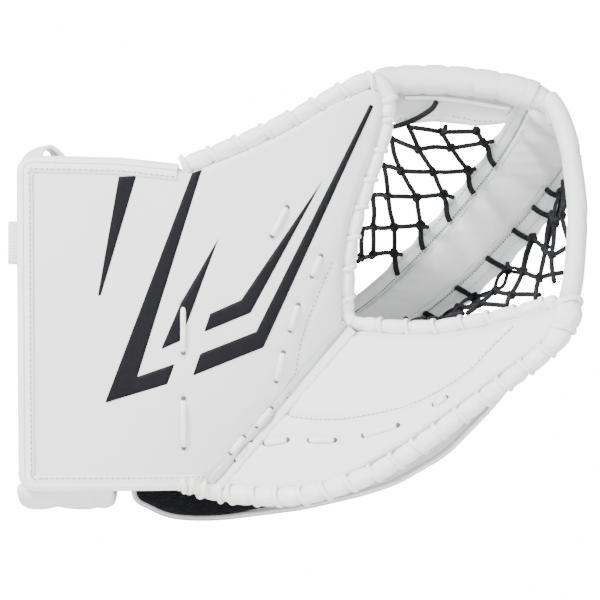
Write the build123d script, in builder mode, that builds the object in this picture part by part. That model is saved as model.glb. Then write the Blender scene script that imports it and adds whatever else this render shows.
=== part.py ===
"""Goalie catch glove: two padded halves that fold about the break, with a T-shaped pocket laced between them.

Millimetres. X runs from the wrist to the pocket, Z up to the thumb tip and Y from the catching face to the
back of the hand. The origin is the middle of the wrist, where the hand goes in.
"""

import math
import os

from build123d import *

# ---- driving dimensions -------------------------------------------------------------------------
BREAK_X, BREAK_Y, BREAK_Z = 47.0, -25.0, -54.6  # lower end of the fold line
FOLD_RISE = math.radians(49.5)  # the fold line's angle above X
FOLD_GAP = 5.0  # each panel stops this far from the fold line
SET_BACK = 3.0  # the faces stay this far behind the fold line

CUFF_LIFT, CUFF_REACH = 23.0, 42.0  # how far the thumb half rises from the fold, and over what distance
EDGE_BACK, EDGE_SOFT = 12.0, 14.0  # how far the thumb's pocket edge curls back, and how softly
PALM_SLOPE, PALM_CURL = 0.45, 0.0022  # slope and dish of the finger half
HAND_SPACE = 52.0  # from the fold line back to the backhand pad
PAD_SLOPE, PAD_SOFT = 0.45, 20.0  # slope of the backhand pad, and how softly it starts

SKIN, FOAM, BOARD, LINING = 1.6, 9.5, 2.4, 2.5  # layers of each half, front to back
STACK = SKIN + FOAM + BOARD + LINING
PAD_LAYERS = (("liner", 2.0), ("foam", 8.0), ("shell", 2.5), ("skin", 1.5))
PAD_STACK = 14.0
SEAM = 0.05  # clearance between glued layers
FREE = 0.4  # clearance between parts that only touch

BINDING, BAND = 0.9, 9.0  # thickness of the cuff's binding tape and its width on the face
EDGE_ROLL, POCKET_ROLL, ROLL_SINK = 5.0, 4.1, 5.0  # radii of the edge rolls, and how far back they sit
LACE = 1.2  # radius of the white lace
WEB_LACE, KNOT = 1.6, 2.7  # radii of the black pocket lace and of its knots

T_MIDDLE, T_HALF_LENGTH, T_DEPTH = 222.0, 97.0, 100.0  # the T's face, half an ellipse behind the fold line
T_HALF_WIDTH, T_STRIP = 17.0, 12.0
T_PUFF, T_BOARD, T_SKIN, T_STRIP_THICK = 4.0, 2.0, 1.6, 3.0
T_LEAN = math.radians(12)  # the T leans to the finger half
T_START = 44.0  # the T starts this far behind the fold line, clear of the index finger

RIM_TOP, RIM_SIDE, RIM_CORNER, RIM_Y = 9.0, 6.3, 7.5, -12.0  # radii of the padded rim, and its depth
RIM_SLOPE = 0.55  # how fast the side rim comes forward to the finger tips

# ---- the fold line's own directions -------------------------------------------------------------
ALONG = Vector(math.cos(FOLD_RISE), 0, math.sin(FOLD_RISE))
ACROSS = Vector(-math.sin(FOLD_RISE), 0, math.cos(FOLD_RISE))  # towards the thumb half
BACK = Vector(0, 1, 0)
FOLD = Vector(BREAK_X, BREAK_Y, BREAK_Z)
T_BACK = BACK * math.cos(T_LEAN) - ACROSS * math.sin(T_LEAN)
T_SIDE = ACROSS * math.cos(T_LEAN) + BACK * math.sin(T_LEAN)


def place(along, across, back=0.0):
    return FOLD + ALONG * along + ACROSS * across + BACK * back


def across_fold(x, z):
    """Distance of a point of the front view from the fold line, positive on the thumb half."""
    return Vector(x - BREAK_X, 0, z - BREAK_Z).dot(ACROSS)


def thumb_depth(x, z):
    """Y of the thumb half's front face."""
    lift = CUFF_LIFT * (1 - math.exp(-across_fold(x, z) / CUFF_REACH))
    from_edge = 135 + 0.18 * (z - 28) - x
    return BREAK_Y + SET_BACK - lift + EDGE_BACK / (1 + math.exp((from_edge - 8) / EDGE_SOFT))


def palm_depth(x, z):
    """Y of the finger half's front face."""
    out = abs(across_fold(x, z))
    return BREAK_Y + SET_BACK - PALM_SLOPE * out - PALM_CURL * out**2


def pad_depth(x, z):
    """Y of the backhand pad's inner face."""
    across = across_fold(x, z)
    out = (math.hypot(across, PAD_SOFT) - across) / 2
    return BREAK_Y + HAND_SPACE - PAD_SLOPE * out


# each shape: its depth, then the reach of its surface along and across the fold line
THUMB = (thumb_depth, (-95, 275), (-4, 238))
PALM = (palm_depth, (-20, 235), (2, -112))
PAD = (pad_depth, (-75, 245), (75, -125))


def face_behind(shape, behind):
    """A smooth face that far behind the shape's front."""
    depth, reach, spread = shape
    count = 18
    grid = []
    for i in range(count):
        row = []
        for k in range(count):
            share_i, share_k = i / (count - 1), k / (count - 1)
            along = reach[0] + (reach[1] - reach[0]) * share_i
            across = spread[0] + (spread[1] - spread[0]) * share_k
            point = place(along, across)
            row.append(Vector(point.X, depth(point.X, point.Z) + behind, point.Z))
        grid.append(row)
    return Face.make_surface_from_array_of_points(grid)


def panel(shape, outline, near, far, round_left=0.0, holes=(), window=()):
    """A layer between two depths behind a shape's front, cut to an outline in X and Z."""
    surface = face_behind(shape, near)
    with BuildPart() as layer:
        with BuildSketch(Plane.XZ):
            with BuildLine():
                Polyline(*outline, close=True)
            made = make_face()
            if round_left:
                fillet(made.vertices().sort_by(Axis.X)[:2], round_left)
            if window:
                with BuildLine():
                    Polyline(*window, close=True)
                make_face(mode=Mode.SUBTRACT)
            if holes:
                with Locations(*holes):
                    Circle(LACE + 0.5, mode=Mode.SUBTRACT)
        extrude(amount=200, both=True)
        extrude(surface, amount=far - near, dir=(0, 1, 0), mode=Mode.INTERSECT)
    return layer


def write(part, name):
    part.part.label = name
    export_step(part.part, f"parts/{name}.step")


def write_layers(name, shape, outline, layers, round_left=0.0, holes=()):
    near = 0.0
    for layer, thick in layers:
        write(panel(shape, outline, near, near + thick - SEAM, round_left, holes), f"{name}_{layer}")
        near += thick


def roll(points, radius, keep=()):
    """A round roll through those points; keep lists planes that trim it, each facing the kept side."""
    with BuildPart() as made:
        with BuildLine() as path:
            Spline(*points)
        with BuildSketch(Plane(path.line @ 0, z_dir=path.line % 0)):
            Circle(radius)
        sweep(path=path.line)
        for plane in keep:
            split(bisect_by=plane, keep=Keep.TOP)
    return made


def whip_lace(points, radius, pitch, first, last):
    """White lace wound round a roll, through the gap between the roll and its panel."""
    with BuildLine() as path:
        Spline(*points)
    turns = round(path.edges()[0].length * (last - first) / pitch)
    winding = []
    for i in range(turns * 6 + 1):
        share = first + (last - first) * i / (turns * 6)
        run = path.line % share
        side = run.cross(BACK).normalized()
        rise = side.cross(run).normalized()
        turn = math.tau * i / 6
        out = side * math.cos(turn) + rise * math.sin(turn)
        winding.append((path.line @ share) + out * (radius + LACE + 0.12))
    with BuildPart() as lace:
        with BuildLine() as wound:
            Spline(*winding)
        with BuildSketch(Plane(wound.line @ 0, z_dir=wound.line % 0)):
            Circle(LACE)
        sweep(path=wound.line)
    return lace


def on_thumb(points, behind=ROLL_SINK):
    return [(x, thumb_depth(x, z) + behind, z) for x, z in points]


def on_palm(points, behind=ROLL_SINK):
    return [(x, palm_depth(x, z) + behind, z) for x, z in points]


def facing(across, towards):
    """A plane along the fold line, that far across, keeping the side it faces."""
    return Plane(place(0, across), z_dir=ACROSS * towards)


os.makedirs("parts", exist_ok=True)
LAYERS = (("skin", SKIN), ("foam", FOAM), ("board", BOARD), ("lining", LINING))

# ---- thumb half: cuff and thumb in one panel, with the running lace's holes ----------------------
fold_low, fold_high = place(2, FOLD_GAP), place(119, FOLD_GAP)
CUFF_OUTLINE = [(-75, 149), (-74, -57.5), (38, -58), (fold_low.X, fold_low.Z), (fold_high.X, fold_high.Z),
                (123, 52), (122, 79), (124, 95), (128, 113), (134, 130), (141, 150), (146.5, 172),
                (142.5, 186), (132, 184), (117, 176.5), (92, 162), (62, 148), (30, 135.5), (24, 142.5), (-12, 147)]
running_cuff = [(27.3, 57.7), (27.3, 27.3), (27.3, -1.2), (27.3, -32)]
running_thumb = [(91.8, 117.8), (82.5, 99.8), (98.6, 57), (93.6, 41), (89.3, 27.3), (82, 12)]
write_layers("cuff_thumb", THUMB, CUFF_OUTLINE, LAYERS, 11.0, running_cuff + running_thumb)


def running_lace(shape, holes, margin=0.9):
    """White lace that runs on the face and on the back by turns, through its holes."""
    depth = shape[0]
    lift = LACE + margin
    route = []
    for i, (x, z) in enumerate(holes):
        front, back = depth(x, z) - lift, depth(x, z) + STACK + lift
        ends = (back, front) if i % 2 == 0 else (front, back)
        route += [(x, y, z) for y in ends]
    with BuildPart() as lace:
        with BuildLine() as path:
            FilletPolyline(*route, radius=1.5)
        with BuildSketch(Plane(path.wires()[0] @ 0, z_dir=path.wires()[0] % 0)):
            Circle(LACE)
        sweep(path=path.wires()[0])
    return lace


write(running_lace(THUMB, running_cuff, 1.2), "cuff_running_lace")
write(running_lace(THUMB, running_thumb), "thumb_running_lace")

# ---- binding tape folded over the cuff's three free edges ---------------------------------------
outer = [(-75.9, 149.9), (-74.9, -58.4), (34, -58.9), (34, -40), (21, 120), (19, 144.2), (-12, 147.9)]
face_edge = [(-75, 149), (-74, -57.5), (35, -58), (35, 150)]
inner = [(-66, 138.5), (-65, -48.8), (60, -49.2), (60, 132.8), (22, 133.5), (-12, 138)]
wrapped = panel(THUMB, outer, -BINDING, STACK + BINDING, 11.5)
core = panel(THUMB, [(-75, 149), (-74, -57.5), (40, -58.1), (40, 141), (24, 142.6), (-12, 147.1)],
             -0.04, STACK + 0.04, 11.0)
opened = panel(THUMB, inner, -4, STACK + 4, 4.0)
with BuildPart() as cuff_binding:
    add(wrapped)
    add(core, mode=Mode.SUBTRACT)
    add(opened, mode=Mode.SUBTRACT)
write(cuff_binding, "cuff_binding")

# ---- five slanting black stripes sewn on the thumb half ------------------------------------------
STRIPES = (
    [(-10.5, 135.5), (-2.5, 136.5), (-23, 63), (-25, 62.5)],
    [(32.5, 136), (36.5, 138), (-1.2, 12.4), (22, 20.5), (17.4, 7.8), (-21, -3.7)],
    [(49.4, 98.6), (29.8, 45.9), (25.5, 34.7), (13.6, 29.5), (26, 58.3)],
    [(113.5, 133.9), (69, 52), (40.3, 40.3), (44, 51.5), (63.2, 60.1)],
    [(139.5, 172), (141.3, 168), (76.9, 30.4), (68.8, 27.3), (33, 13), (37.8, 29), (72.5, 40.3)],
)
for number, stripe in enumerate(STRIPES, 1):
    write(panel(THUMB, stripe, -0.85, -SEAM, 0.0, running_cuff), f"cuff_stripe_{number}")

# ---- laced roll round the top of the cuff, the thumb tip and the thumb's pocket edge -------------
TIP = [(26, 143.5), (42, 149), (59, 156), (75, 163), (89, 170), (103, 177), (116, 184.5), (129, 191.5),
       (141, 196.5), (150, 195), (154.5, 187), (154, 174)]
POCKET_EDGE = [(154, 172.5), (149, 153), (142, 132), (136, 114), (132, 97), (130, 80), (129.5, 64), (129.5, 52.5)]
write(roll(on_thumb(TIP), EDGE_ROLL), "thumb_edge_roll")
write(whip_lace(on_thumb(TIP), EDGE_ROLL, 15.5, 0.01, 0.96), "thumb_edge_lace")
write(roll(on_thumb(POCKET_EDGE), POCKET_ROLL, [facing(6, 1)]), "thumb_pocket_roll")
write(whip_lace(on_thumb(POCKET_EDGE), POCKET_ROLL, 17, 0.06, 0.86), "thumb_pocket_lace")

# ---- finger half: palm panel ---------------------------------------------------------------------
fold_low, fold_high = place(4, -FOLD_GAP), place(118, -FOLD_GAP)
PALM_OUTLINE = [(fold_low.X, fold_low.Z), (76, -56), (102, -54), (118, -50.5), (133.5, -43), (166.5, -23), (194, -2.5),
                (219, 17), (234, 29), (246, 41), (243, 47.5), (231, 44), (214, 40), (187, 35), (157, 35),
                (138, 37), (fold_high.X, fold_high.Z)]
running_palm = [(80, -29), (92, -27.5), (105.4, -27.3), (121.5, -26.6), (138.9, -23.6), (160, -16.8)]
write_layers("palm", PALM, PALM_OUTLINE, LAYERS, 0.0, running_palm)
write(running_lace(PALM, running_palm), "palm_running_lace")

PALM_POCKET = [(139, 45), (157, 43.2), (172, 42.8), (187, 43.4), (214, 48), (231, 52), (243, 55.5)]
PALM_BOTTOM = [(250, 57), (260, 52.5), (260.5, 42), (243, 25), (222, 8.5), (199, -9), (171, -30), (140, -49),
               (103, -61.5), (76, -63.5), (50, -62.5)]
write(roll(on_palm(PALM_POCKET), POCKET_ROLL, [facing(-6, -1)]), "palm_pocket_roll")
write(whip_lace(on_palm(PALM_POCKET), POCKET_ROLL, 16.5, 0.08, 0.94), "palm_pocket_lace")
write(roll(on_palm(PALM_BOTTOM), EDGE_ROLL, [facing(-6, -1)]), "palm_bottom_roll")
write(whip_lace(on_palm(PALM_BOTTOM), EDGE_ROLL, 16.5, 0.10, 0.965), "palm_bottom_lace")

# ---- between the halves: gusset behind the break, and the rolls' short ends across it -------------
with BuildPart() as break_gusset:
    with BuildSketch(Plane(place(4, 0, 4.6), x_dir=ALONG, z_dir=ALONG.cross(ACROSS))):
        with Locations((58, 0)):
            Rectangle(112, 8)
    extrude(amount=-1.8)
write(break_gusset, "break_gusset")
crotch = [(129.5, 58, -15), (130, 51, -15.5), (133, 46.5, -16), (140, 45, -16.5), (148, 44, -18)]
write(roll([(x, y, z) for x, z, y in crotch], POCKET_ROLL, [facing(-5.5, 1), facing(5.5, -1)]), "crotch_roll")
heel = [(60, -63.6, -18), (54, -63.3, -17), (46, -62, -16.5), (38, -60.5, -16.5), (30, -60, -17)]
write(roll([(x, y, z) for x, z, y in heel], 3.4, [facing(-5.5, 1), facing(1.2, -1)]), "heel_roll")

# ---- pocket: the T, its padding and its two laced strips -----------------------------------------
T_PLANE = Plane(place(T_MIDDLE, 0), x_dir=ALONG, z_dir=T_SIDE)


def t_band(inner_gap, outer_gap, from_side, to_side, lowest=T_START):
    """A curved strip of the T, between two depths behind its face and two places across it."""
    with BuildPart() as band:
        with BuildSketch(T_PLANE.offset(from_side)):
            Ellipse(T_HALF_LENGTH + outer_gap, T_DEPTH + outer_gap)
            Ellipse(T_HALF_LENGTH + inner_gap, T_DEPTH + inner_gap, mode=Mode.SUBTRACT)
            with Locations((0, lowest - 150)):
                Rectangle(300, 300, mode=Mode.SUBTRACT)
        extrude(amount=to_side - from_side)
    return band


def t_point(angle, side, out=0.0):
    """A point of the T's face; the angle runs from the rim round to the crotch."""
    return (
        place(T_MIDDLE, 0)
        + ALONG * ((T_HALF_LENGTH + out) * math.cos(angle))
        + T_BACK * ((T_DEPTH + out) * math.sin(angle))
        + T_SIDE * side
    )


write(t_band(0, T_PUFF - SEAM, -T_HALF_WIDTH, T_HALF_WIDTH), "t_padding")
write(t_band(T_PUFF, T_PUFF + T_BOARD - SEAM, -T_HALF_WIDTH, T_HALF_WIDTH), "t_board")
write(t_band(T_PUFF + T_BOARD, T_PUFF + T_BOARD + T_SKIN, -T_HALF_WIDTH, T_HALF_WIDTH), "t_back")
write(t_band(1, 1 + T_STRIP_THICK, T_HALF_WIDTH + SEAM, T_HALF_WIDTH + T_STRIP), "t_thumb_strip")
write(t_band(1, 1 + T_STRIP_THICK, -T_HALF_WIDTH - T_STRIP, -T_HALF_WIDTH - SEAM), "t_finger_strip")

# ---- padded rim from the thumb tip round to the finger tips --------------------------------------
RIM_OVER = [(144, 195), (170, 197.5), (198, 195.5), (225, 191), (250, 184)]
RIM_DOWN = [(252, 188), (261, 176), (267, 160), (270, 141), (271.5, 116), (270, 94), (268, 72)]
rim_over = [(x, RIM_Y, z) for x, z in RIM_OVER]
rim_down = [(x, RIM_Y - RIM_SLOPE * max(0, -across_fold(x, z)), z) for x, z in RIM_DOWN]
write(roll(rim_over, RIM_TOP, [facing(6, 1)]), "rim_top")
write(roll(rim_down, RIM_SIDE, [facing(-6, -1)]), "rim_side")
rim_bend = [(240, RIM_Y, 188), (250, RIM_Y, 185), (258, RIM_Y, 179), (263, RIM_Y, 170)]
write(roll(rim_bend, RIM_CORNER, [facing(-5.6, 1), facing(5.6, -1)]), "rim_corner")
with BuildPart() as rim_flap:
    with BuildSketch(Plane.XZ.offset(-(RIM_Y + RIM_TOP + 3.3))):
        with BuildLine():
            Polyline((158, 190), (160.5, 171), (185, 173.5), (214, 170.5), (232, 173), (228, 188), (200, 190), close=True)
        make_face()
    extrude(amount=2.5)
write(rim_flap, "rim_flap")

# ---- black laced nets each side of the T ---------------------------------------------------------
NET_ROWS = 6


def edge_share(points, share):
    """A point part of the way along a run of points."""
    place_in = min(max(share, 0.0), 1.0) * (len(points) - 1)
    i = min(int(place_in), len(points) - 2)
    return points[i] + (points[i + 1] - points[i]) * (place_in - i)


thumb_side_edge = [Vector(x + 8.5, thumb_depth(x, z) + 8, z) for x, z in
                   ((129.5, 72), (131, 92), (135, 111), (141, 130), (148, 149), (153, 165))]
thumb_side_edge += [Vector(171, 4, 172), Vector(196, 4, 171), Vector(216, 4, 172)]
finger_side_edge = [Vector(x, palm_depth(x, z) + 9, z + 8.5) for x, z in
                    ((166, 43), (183, 43.2), (202, 46), (224, 50.5), (243, 55))]
finger_side_edge += [Vector(257, -45, 75), Vector(262, -34, 98), Vector(262.5, -22, 122), Vector(260, -9, 145)]


def net(edge, side, rows):
    """Diamond net from one of the T's strips to the facing edge, knotted at every crossing."""
    strip = T_HALF_WIDTH + T_STRIP + WEB_LACE + 0.5

    def knot(row, share):
        angle = math.radians(min(151, 147 - 118 * (row + 0.2) / (NET_ROWS + 0.4)))
        near = t_point(angle, side * strip, -1.0)
        far = edge_share(edge, (row + 0.2) / (NET_ROWS + 0.4))
        return near + (far - near) * share + BACK * (13 * math.sin(math.pi * share) * min(1, row / 2 + 0.4))

    pitch = rows[1] - rows[0]
    every = [*rows, rows[-1] + pitch]
    tops = [knot(row, 0.10) for row in rows]
    middles = [knot(row - 0.55 * pitch, 0.40) for row in every]
    lasts = [knot(row - 1.15 * pitch, 0.71) for row in every]
    links = []
    for i, row in enumerate(every):
        links.append((middles[i], lasts[i]))
        if i < len(rows):
            angle = math.radians(min(151, 147 - 118 * (row + 0.2) / (NET_ROWS + 0.4)))
            over = t_point(angle, side * (T_HALF_WIDTH + 3), -WEB_LACE + 0.4)
            links += [(over, tops[i]), (tops[i], middles[i]), (tops[i], middles[i + 1]), (middles[i], lasts[i + 1])]
        links += [(lasts[i], knot(row - 1.15 * pitch + 0.2, 1.0)), (lasts[i], knot(row - 1.15 * pitch - 0.2, 1.0))]
    knots = [*tops, *middles, *lasts]
    pieces = []
    for start, end in links:
        run = (end - start).normalized()
        begin = start + run * (KNOT + SEAM if start in knots else 0)
        finish = end - run * (KNOT + SEAM if end in knots else 0)
        with BuildPart() as cord:
            with BuildSketch(Plane(begin, z_dir=run)):
                Circle(WEB_LACE)
            extrude(amount=(finish - begin).length)
        pieces.append(cord.part.solid())
    for centre in knots:
        with BuildPart() as tied:
            with Locations(centre):
                Sphere(KNOT)
        pieces.append(tied.part.solid())
    return pieces


for name, edge, side, rows in (
    ("thumb_net", thumb_side_edge, 1, (1.7, 2.55, 3.4, 4.2, 5.0)),
    ("finger_net", finger_side_edge, -1, (1.15, 2.1, 3.0, 3.8, 4.4, 4.85)),
):
    cords_and_knots = Compound(net(edge, side, rows))
    cords_and_knots.label = name
    export_step(cords_and_knots, f"parts/{name}.step")

# ---- thumb stall and the pad over it ---------------------------------------------------------------


def stall(base, tip, radius, wall):
    """A soft tube closed at its tip."""
    run = tip - base
    with BuildPart() as made:
        with BuildSketch(Plane(base, z_dir=run)):
            Circle(radius)
        extrude(amount=run.length)
        with Locations(tip):
            Sphere(radius)
        with BuildSketch(Plane(base, z_dir=run)):
            Circle(radius - wall)
        extrude(amount=run.length, mode=Mode.SUBTRACT)
        with Locations(tip):
            Sphere(radius - wall, mode=Mode.SUBTRACT)
    return made


thumb_gap = STACK + 15.6
thumb_base = Vector(82, thumb_depth(82, 96) + thumb_gap, 96)
thumb_tip = Vector(117, thumb_depth(117, 150) + thumb_gap, 150)
write(stall(thumb_base, thumb_tip, 12.0, 1.6), "thumb_stall")
THUMB_PAD = [(62, 104), (112, 84), (121, 112), (134, 160), (127, 172), (96, 156), (66, 136)]
write(panel(THUMB, THUMB_PAD, 45, 54, 5.0), "thumb_back_pad")

# ---- four finger stalls ------------------------------------------------------------------------------
FINGERS = (("index", 112, 18.6, 46.5), ("middle", 122, 3.4, 62), ("ring", 116, -15.2, 54), ("little", 104, -35.8, 32))
for finger, x, z, length in FINGERS:
    end_x = x + length * math.cos(math.radians(16))
    end_z = z + length * math.sin(math.radians(16))
    behind = STACK + 15
    base = Vector(x, palm_depth(x, z) + behind, z)
    tip = Vector(end_x, palm_depth(end_x, end_z) + behind, end_z)
    write(stall(base, tip, 8.9, 1.4), f"{finger}_stall")

# ---- backhand pad, its binding and the wall that joins it to the palm -------------------------------
PAD_OUTLINE = [(-9, -60), (-7, -70), (14, -80), (32, -81.5), (50, -80.5), (100, -73), (136, -64), (160, -56), (192, -37),
               (222, -6), (240, 17), (240, 36), (222, 46), (201, 30.6), (177.4, 17.5), (160, 9.5), (140, 22), (119, 35),
               (100, 26), (50, 18), (-7, 2)]
near = 0.0
for layer, thick in PAD_LAYERS:
    write(panel(PAD, PAD_OUTLINE, near, near + thick - SEAM, 4.0), f"backhand_{layer}")
    near += thick
middle_x, middle_z = 120, -18
grown = [(x + 1.6 * (x - middle_x) / 100, z + 2.4 * (z - middle_z) / 45) for x, z in PAD_OUTLINE]
clear = [(x + 0.1 * (x - middle_x) / 100, z + 0.1 * (z - middle_z) / 45) for x, z in PAD_OUTLINE]
with BuildPart() as backhand_binding:
    add(panel(PAD, grown, -0.6, PAD_STACK + 0.6, 4.6))
    add(panel(PAD, clear, -5, PAD_STACK + 5, 4.05), mode=Mode.SUBTRACT)
write(backhand_binding, "backhand_binding")

WALL = [(100, -50), (118, -46), (133, -39), (166, -18.5), (194, 2), (219, 21), (231, 32), (233.5, 29), (221.5, 17.5),
        (196, -2), (168, -22.5), (134.5, -43), (119, -49.8), (100, -53.5)]
with BuildPart() as outer_wall:
    with BuildSketch(Plane.XZ):
        with BuildLine():
            Polyline(*WALL, close=True)
        make_face()
    extrude(amount=200, both=True)
    extrude(face_behind(PALM, STACK + FREE), amount=200, dir=(0, 1, 0), mode=Mode.INTERSECT)
    extrude(face_behind(PAD, -FREE), amount=200, dir=(0, -1, 0), mode=Mode.INTERSECT)
write(outer_wall, "outer_wall")

# ---- wrist: padded walls, the strap that closes it and the pull loop ----------------------------------
WRIST_LEFT, WRIST_RIGHT = -77.0, -17.0
CUFF_BACK = BREAK_Y + SET_BACK - CUFF_LIFT + STACK + BINDING + 1.6  # just behind the lining at the cuff
STRAP_Y = 26.0


def behind_cuff(profile, left, right):
    """A wall of that profile in Y and Z, run along X and cut to sit on the back of the cuff."""
    with BuildPart() as wall:
        with BuildSketch(Plane.YZ.offset(left)):
            with BuildLine():
                outside = Spline(*profile[0])
                inside = Spline(*profile[1])
                Line(outside @ 1, inside @ 0)
                Line(inside @ 1, outside @ 0)
            make_face()
        extrude(amount=right - left)
        rest = face_behind(THUMB, STACK + BINDING + FREE)
        extrude(rest, amount=200, dir=(0, 1, 0), mode=Mode.INTERSECT)
    return wall


PAD_PROFILE = (
    [(CUFF_BACK - 8, -64), (CUFF_BACK + 8, -71), (CUFF_BACK + 26, -70), (STRAP_Y - 10, -58), (STRAP_Y - 5, -36)],
    [(STRAP_Y - 11, -34), (STRAP_Y - 17, -50), (CUFF_BACK + 22, -59), (CUFF_BACK + 8, -59), (CUFF_BACK - 8, -54)],
)
TOP_PROFILE = (
    [(CUFF_BACK - 8, 83), (CUFF_BACK + 6, 86.5), (CUFF_BACK + 22, 88), (STRAP_Y - 12, 84), (STRAP_Y - 3, 73)],
    [(STRAP_Y - 9, 67), (STRAP_Y - 18, 75), (CUFF_BACK + 20, 79), (CUFF_BACK + 6, 78), (CUFF_BACK - 8, 75)],
)
write(behind_cuff(PAD_PROFILE, WRIST_LEFT, WRIST_RIGHT), "wrist_pad")
write(behind_cuff(TOP_PROFILE, WRIST_LEFT + 6.5, WRIST_RIGHT), "wrist_top_wall")

STRAP_HALF, STRAP_THICK, STRAP_TOP, STRAP_END, STRAP_X = 19.0, 3.5, 71.0, -58.0, -47.0


def slab(x, y, z, dx, dy, dz, name):
    """A plain piece with its near, left and lower corner at a point."""
    with BuildPart() as made:
        with Locations((x + dx / 2, y + dy / 2, z + dz / 2)):
            Box(dx, dy, dz)
    write(made, name)


slab(STRAP_X - STRAP_HALF, STRAP_Y, STRAP_END, 2 * STRAP_HALF, STRAP_THICK, STRAP_TOP - STRAP_END, "wrist_strap")
slab(STRAP_X - STRAP_HALF + 2, STRAP_Y - 1.25, STRAP_END + 6, 2 * STRAP_HALF - 4, 1.2, 44, "wrist_strap_hook")
with BuildPart() as strap_anchor:
    with Locations((STRAP_X, STRAP_Y - 0.4, 78)):
        Box(2 * STRAP_HALF, 3.0, 12)
write(strap_anchor, "wrist_strap_anchor")

loop_z = 96.0
with BuildPart() as pull_loop:
    with BuildSketch(Plane.XY.offset(loop_z - 14)):
        with Locations((-78.0, CUFF_BACK + 5.5)):
            SlotOverall(12, 6.5)
            SlotOverall(9, 3.5, mode=Mode.SUBTRACT)
    extrude(amount=28)
write(pull_loop, "pull_loop")

# ---- strap across the backhand pad ---------------------------------------------------------------------
hand_across, hand_start, hand_end = -36.0, 24.0, 112.0
pad_tilt = math.atan(PAD_SLOPE)
pad_up = ACROSS * math.cos(pad_tilt) + BACK * math.sin(pad_tilt)
pad_out = pad_up.cross(ALONG) * -1
hand_origin = place(0, hand_across)
hand_origin = Vector(hand_origin.X, pad_depth(hand_origin.X, hand_origin.Z) + PAD_STACK, hand_origin.Z)
if pad_out.Y < 0:
    pad_out = pad_out * -1


def on_pad(start, end, half, low, high, name):
    with BuildPart() as made:
        with BuildSketch(Plane(hand_origin + pad_out * low, x_dir=ALONG, z_dir=pad_out)):
            with Locations(((start + end) / 2, 0)):
                RectangleRounded(end - start, 2 * half, 3)
        extrude(amount=high - low)
    write(made, name)


on_pad(hand_start, hand_end, 14, 3.0, 6.2, "hand_strap")
on_pad(hand_start + 3, hand_start + 33, 12, 1.9, 2.95, "hand_strap_hook")
on_pad(hand_end + 0.6, hand_end + 14, 14, 0.9, 6.2, "hand_strap_anchor")
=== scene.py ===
"""Soft surfaces, lacing, stitching, materials and studio for the goalie catch glove. Lengths are millimetres here."""

import math

import bpy
import numpy as np
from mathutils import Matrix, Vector
from mathutils.geometry import delaunay_2d_cdt


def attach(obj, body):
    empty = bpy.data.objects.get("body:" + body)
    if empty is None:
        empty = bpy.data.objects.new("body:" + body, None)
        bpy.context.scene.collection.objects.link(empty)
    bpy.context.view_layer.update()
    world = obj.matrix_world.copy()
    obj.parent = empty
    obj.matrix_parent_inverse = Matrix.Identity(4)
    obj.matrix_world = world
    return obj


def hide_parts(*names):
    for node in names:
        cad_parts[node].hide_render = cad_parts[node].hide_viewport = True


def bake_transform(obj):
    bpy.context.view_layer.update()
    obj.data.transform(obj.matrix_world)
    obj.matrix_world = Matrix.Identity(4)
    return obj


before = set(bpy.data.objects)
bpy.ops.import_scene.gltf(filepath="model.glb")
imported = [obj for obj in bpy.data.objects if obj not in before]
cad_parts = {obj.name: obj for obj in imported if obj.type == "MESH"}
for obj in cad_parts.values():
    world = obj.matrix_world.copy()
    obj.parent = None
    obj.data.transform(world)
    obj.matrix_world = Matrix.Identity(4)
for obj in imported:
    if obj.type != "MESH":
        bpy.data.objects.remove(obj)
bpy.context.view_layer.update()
MM = 0.001
THUMB_SIDE, T_BODY, FINGER_SIDE = "thumb_side", "pocket_t", "finger_side"
FRONT = (0, -1, 0)
rng = np.random.default_rng(7)

# ---- the same shape rules as the CAD ------------------------------------------------------------
BREAK = np.array([47.0, -25.0, -54.6])
RISE = math.radians(49.5)
ALONG = np.array([math.cos(RISE), 0, math.sin(RISE)])
ACROSS = np.array([-math.sin(RISE), 0, math.cos(RISE)])
BACK = np.array([0.0, 1.0, 0.0])
STACK, PAD_STACK = 16.0, 14.0
LEAN = math.radians(12)
T_BACK = BACK * math.cos(LEAN) - ACROSS * math.sin(LEAN)
T_SIDE = ACROSS * math.cos(LEAN) + BACK * math.sin(LEAN)
T_MIDDLE, T_LONG, T_DEEP = 222.0, 97.0, 100.0
RIM_Y = -12.0


def place(along, across, back=0.0):
    """A point measured from the low end of the break: along it, across it and towards the back of the hand."""
    along, across, back = (np.asarray(v, float)[..., None] for v in (along, across, back))
    return BREAK + ALONG * along + ACROSS * across + BACK * back


def across_fold(x, z):
    """Distance from the break, positive on the thumb side."""
    return (x - BREAK[0]) * ACROSS[0] + (z - BREAK[2]) * ACROSS[2]


def thumb_y(x, z):
    """Face of the cuff and thumb panel: it rises away from the break and drops towards the thumb tip."""
    lift = 23 * (1 - np.exp(-np.maximum(across_fold(x, z), -8) / 42))
    return -22 - lift + 12 / (1 + np.exp((135 + 0.18 * (z - 28) - x - 8) / 14))


def palm_y(x, z):
    """Face of the palm panel, dished away from the break."""
    out = np.abs(across_fold(x, z))
    return -22 - 0.45 * out - 0.0022 * out**2


def pad_y(x, z):
    """Inner face of the backhand pad."""
    across = across_fold(x, z)
    return 27 - 0.45 * (np.hypot(across, 20) - across) / 2


def t_point(angle, side, out=0.0):
    """A point on the T's arch: its angle from the rim, its place across the T, and its distance outside the face."""
    side = side - np.interp(np.degrees(angle), (24, 60, 90, 120, 154), (8.5, 7.0, 4.5, 2.0, 0.0))
    angle, side, out = (np.asarray(v, float)[..., None] for v in (angle, side, out))
    return (place(T_MIDDLE, 0) + ALONG * (T_LONG + out) * np.cos(angle)
            + T_BACK * (T_DEEP + out) * np.sin(angle) + T_SIDE * side)


def on(depth, points, behind=0.0):
    """Points of X and Z laid on a face."""
    p = np.array(points, float)
    return np.column_stack([p[:, 0], depth(p[:, 0], p[:, 1]) + behind, p[:, 1]])


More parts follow.
